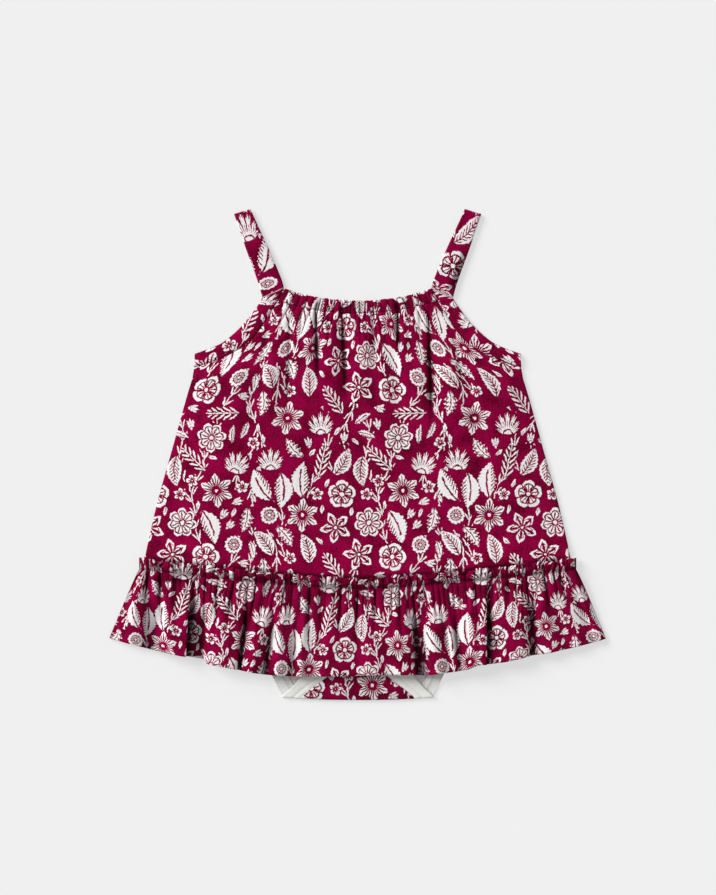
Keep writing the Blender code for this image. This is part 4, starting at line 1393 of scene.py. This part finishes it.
class DressSizes(bpy.types.PropertyGroup):
    """Sizes that a user would change, given here in millimetres."""

    jersey: length_property("Jersey", "Thickness of the printed jersey", 0.6, 0.2, 1.0)
    tape: length_property("Tape", "Thickness of the bands, straps and bindings", 0.9, 0.3, 1.2)
    stitch: length_property("Stitch", "Length of one visible stitch", 2.3, 1.0, 5.0)
    stitch_gap: length_property("Stitch gap", "Distance between two stitches", 0.8, 0.1, 3.0)
    thread: length_property("Thread", "Radius of the thread as it shows", 0.18, 0.05, 0.5)
    snap_radius: length_property("Snap radius", "Radius of a snap cap", 4.4, 3.0, 6.0)
    camera_height: length_property("Camera height", "Height of the camera above the surface",
                                   2030.0, 500.0, 6000.0)


def colour_property(name, description, hex_value):
    return bpy.props.FloatVectorProperty(
        name=name, description=description, subtype="COLOR", size=4, min=0.0, max=1.0,
        default=linear(hex_value))


class DressColours(bpy.types.PropertyGroup):
    """Colours that a user would change."""

    ground: colour_property("Ground", "Cranberry ground of the print", "9B0244")
    ground_deep: colour_property("Deep ground", "Ground where the dye lies thicker", "4C0015")
    ink: colour_property("Ink", "White of the printed flowers", "F8F6F7")
    wrong_side: colour_property("Wrong side", "Undyed inner side of the jersey", "EAE3E4")
    show_through: colour_property("Show-through", "Colour come through the jersey", "CFA9B5")
    binding: colour_property("Binding", "Leg binding", "F6F6F3")
    binding_shade: colour_property("Binding shade", "Darker flecks of the binding", "E6E6E2")
    thread: colour_property("Thread", "Sewing thread of the dress", "8A0A40")
    snap: colour_property("Snap", "Snap caps", "F2F2EF")
    floor: colour_property("Floor", "Plain pale floor, backlit", "9C9C9C")
    # Painted shade: the tint that the jersey is darkened towards in its folds and under other
    # pieces.
    painted_shade: colour_property("Hollows", "Tint of the jersey where it is deep in a fold", "54444E")
    # Painted shade: the tint that the binding is darkened towards in its folds and under the
    # ruffle.
    binding_painted_shade: colour_property(
        "Binding hollows", "Tint of the binding in its folds", "CECACA")


def printed(context, thickness):
    """The printed jersey at this thickness, with the wrong side as its inner side."""
    colours = context.scene.dress_colours
    outer = bpy.data.materials.get("printed_cotton_jersey") or make_printed_jersey(colours)
    inner = bpy.data.materials.get("jersey_wrong_side") or make_wrong_side(colours)
    return Fabric((outer, inner), "printed_jersey", thickness)


class DRESS_OT_panels(bpy.types.Operator):
    """Make the front and the back of the dress"""

    bl_idname = "dress.make_panels"
    bl_label = "Panels"

    def execute(self, context):
        jersey = printed(context, context.scene.dress_sizes.jersey)
        make_back_panel(jersey)
        make_front_panel(jersey)
        return {"FINISHED"}


class DRESS_OT_neck_casings(bpy.types.Operator):
    """Make the elasticated casings of the neckline"""

    bl_idname = "dress.make_neck_casings"
    bl_label = "Neck casings"

    def execute(self, context):
        jersey = printed(context, context.scene.dress_sizes.jersey)
        for layer in LAYERS:
            make_neck_casing(layer, jersey)
        return {"FINISHED"}


class DRESS_OT_armhole_bands(bpy.types.Operator):
    """Make the bands round the armholes"""

    bl_idname = "dress.make_armhole_bands"
    bl_label = "Armhole bands"

    def execute(self, context):
        tape = printed(context, context.scene.dress_sizes.tape)
        for layer in LAYERS:
            for hand, side in HANDS:
                make_armhole_band(layer, hand, side, tape)
        return {"FINISHED"}


class DRESS_OT_straps(bpy.types.Operator):
    """Make the shoulder straps"""

    bl_idname = "dress.make_straps"
    bl_label = "Straps"

    def execute(self, context):
        tape = printed(context, context.scene.dress_sizes.tape)
        for hand, side in HANDS:
            make_strap(hand, side, tape)
        return {"FINISHED"}


class DRESS_OT_ruffles(bpy.types.Operator):
    """Make the gathered ruffles at the hem"""

    bl_idname = "dress.make_ruffles"
    bl_label = "Ruffles"

    def execute(self, context):
        jersey = printed(context, context.scene.dress_sizes.jersey)
        make_ruffle_back(jersey)
        make_ruffle_front(jersey)
        return {"FINISHED"}


class DRESS_OT_bodysuit(bpy.types.Operator):
    """Make the bodysuit inside the dress, with its crotch flap"""

    bl_idname = "dress.make_bodysuit"
    bl_label = "Bodysuit"

    def execute(self, context):
        jersey = printed(context, context.scene.dress_sizes.jersey)
        make_bodysuit_back(jersey)
        make_bodysuit_front(jersey)
        return {"FINISHED"}


class DRESS_OT_leg_bindings(bpy.types.Operator):
    """Make the white bindings of the leg openings"""

    bl_idname = "dress.make_leg_bindings"
    bl_label = "Leg bindings"

    def execute(self, context):
        material = make_binding_material(context.scene.dress_colours)
        tape = Fabric((material, material), "white_binding", context.scene.dress_sizes.tape)
        for hand, side in HANDS:
            make_leg_binding(hand, side, tape)
        return {"FINISHED"}


class DRESS_OT_snaps(bpy.types.Operator):
    """Make the closed snaps of the crotch flap"""

    bl_idname = "dress.make_snaps"
    bl_label = "Snaps"

    def execute(self, context):
        material = make_snap_material(context.scene.dress_colours.snap)
        for number in (1, 2, 3):
            make_snap(number, [material], context.scene.dress_sizes.snap_radius / MM)
        return {"FINISHED"}


class DRESS_OT_stitching(bpy.types.Operator):
    """Sew the visible stitches along the seams"""

    bl_idname = "dress.make_stitching"
    bl_label = "Stitching"

    def execute(self, context):
        sizes, colours = context.scene.dress_sizes, context.scene.dress_colours
        if not SEAMS["thread"] or not SEAMS["white"]:
            raise RuntimeError("make the cloth pieces before the stitching")
        thread = make_thread("polyester_thread", colours.thread)
        make_stitching("dress_thread", SEAMS["thread"], thread, "printed_jersey", sizes)
        thread = make_thread("white_polyester_thread", colours.binding_shade)
        make_stitching("binding_thread", SEAMS["white"], thread, "white_binding", sizes)
        return {"FINISHED"}


class DRESS_OT_stage(bpy.types.Operator):
    """Make the floor, the lights and the camera"""

    bl_idname = "dress.make_stage"
    bl_label = "Stage"

    def execute(self, context):
        scene = context.scene
        bm = bmesh.new()
        bmesh.ops.create_grid(bm, x_segments=1, y_segments=1, size=FLOOR_REACH)
        bmesh.ops.translate(bm, verts=bm.verts[:], vec=(0.0, 0.0, -FLOOR_DEPTH))
        mesh = bpy.data.meshes.new("floor")
        bm.to_mesh(mesh)
        bm.free()
        floor = bpy.data.objects.new("floor", mesh)
        material, shader, _ = new_material("backlit_acrylic", 1.0, 0.0)
        shader.inputs["Base Color"].default_value = scene.dress_colours.floor
        shader.inputs["Emission Color"].default_value = WHITE
        shader.inputs["Emission Strength"].default_value = FLOOR_GLOW
        mesh.materials.append(material)

        scene.world = bpy.data.worlds.new("studio")
        scene.world.use_nodes = True
        sky = scene.world.node_tree.nodes["Background"]
        sky.inputs["Color"].default_value = WHITE
        sky.inputs["Strength"].default_value = SKY_STRENGTH
        key = bpy.data.lights.new("key_light", "SUN")
        key.angle = KEY_ANGLE
        key.energy = KEY_STRENGTH
        lamp = bpy.data.objects.new("key_light", key)
        lamp.location = KEY_PLACE
        lamp.rotation_euler = (-lamp.location).to_track_quat("-Z", "Y").to_euler()

        lens = bpy.data.cameras.new("camera")
        lens.lens = LENS
        camera = bpy.data.objects.new("camera", lens)
        camera.location = (*CAMERA_PLACE, scene.dress_sizes.camera_height)
        for item in (floor, lamp, camera):
            scene.collection.objects.link(item)
        scene.camera = camera
        scene.view_settings.view_transform = "Standard"
        return {"FINISHED"}


class VIEW3D_PT_bodysuit_dress(bpy.types.Panel):
    """Lists the pieces, sizes and colours of the dress"""

    bl_label = "Bodysuit dress"
    bl_space_type = "VIEW_3D"
    bl_region_type = "UI"
    bl_category = "Bodysuit dress"

    def draw(self, context):
        for group in (context.scene.dress_sizes, context.scene.dress_colours):
            box = self.layout.box()
            for name in type(group).__annotations__:
                box.prop(group, name)
        for operator in OPERATORS:
            self.layout.operator(operator.bl_idname)


SEAMS = {"thread": [], "white": []}
OPERATORS = (
    DRESS_OT_panels,
    DRESS_OT_neck_casings,
    DRESS_OT_armhole_bands,
    DRESS_OT_straps,
    DRESS_OT_ruffles,
    DRESS_OT_bodysuit,
    DRESS_OT_leg_bindings,
    DRESS_OT_snaps,
    DRESS_OT_stitching,
    DRESS_OT_stage,
)
CLASSES = (DressSizes, DressColours, *OPERATORS, VIEW3D_PT_bodysuit_dress)


def register():
    for item in CLASSES:
        bpy.utils.register_class(item)
    bpy.types.Scene.dress_sizes = bpy.props.PointerProperty(type=DressSizes)
    bpy.types.Scene.dress_colours = bpy.props.PointerProperty(type=DressColours)


def unregister():
    del bpy.types.Scene.dress_colours
    del bpy.types.Scene.dress_sizes
    for item in reversed(CLASSES):
        bpy.utils.unregister_class(item)


def main():
    register()
    for operator in OPERATORS:
        group, name = operator.bl_idname.split(".")
        getattr(getattr(bpy.ops, group), name)()


if __name__ == "__main__":
    main()
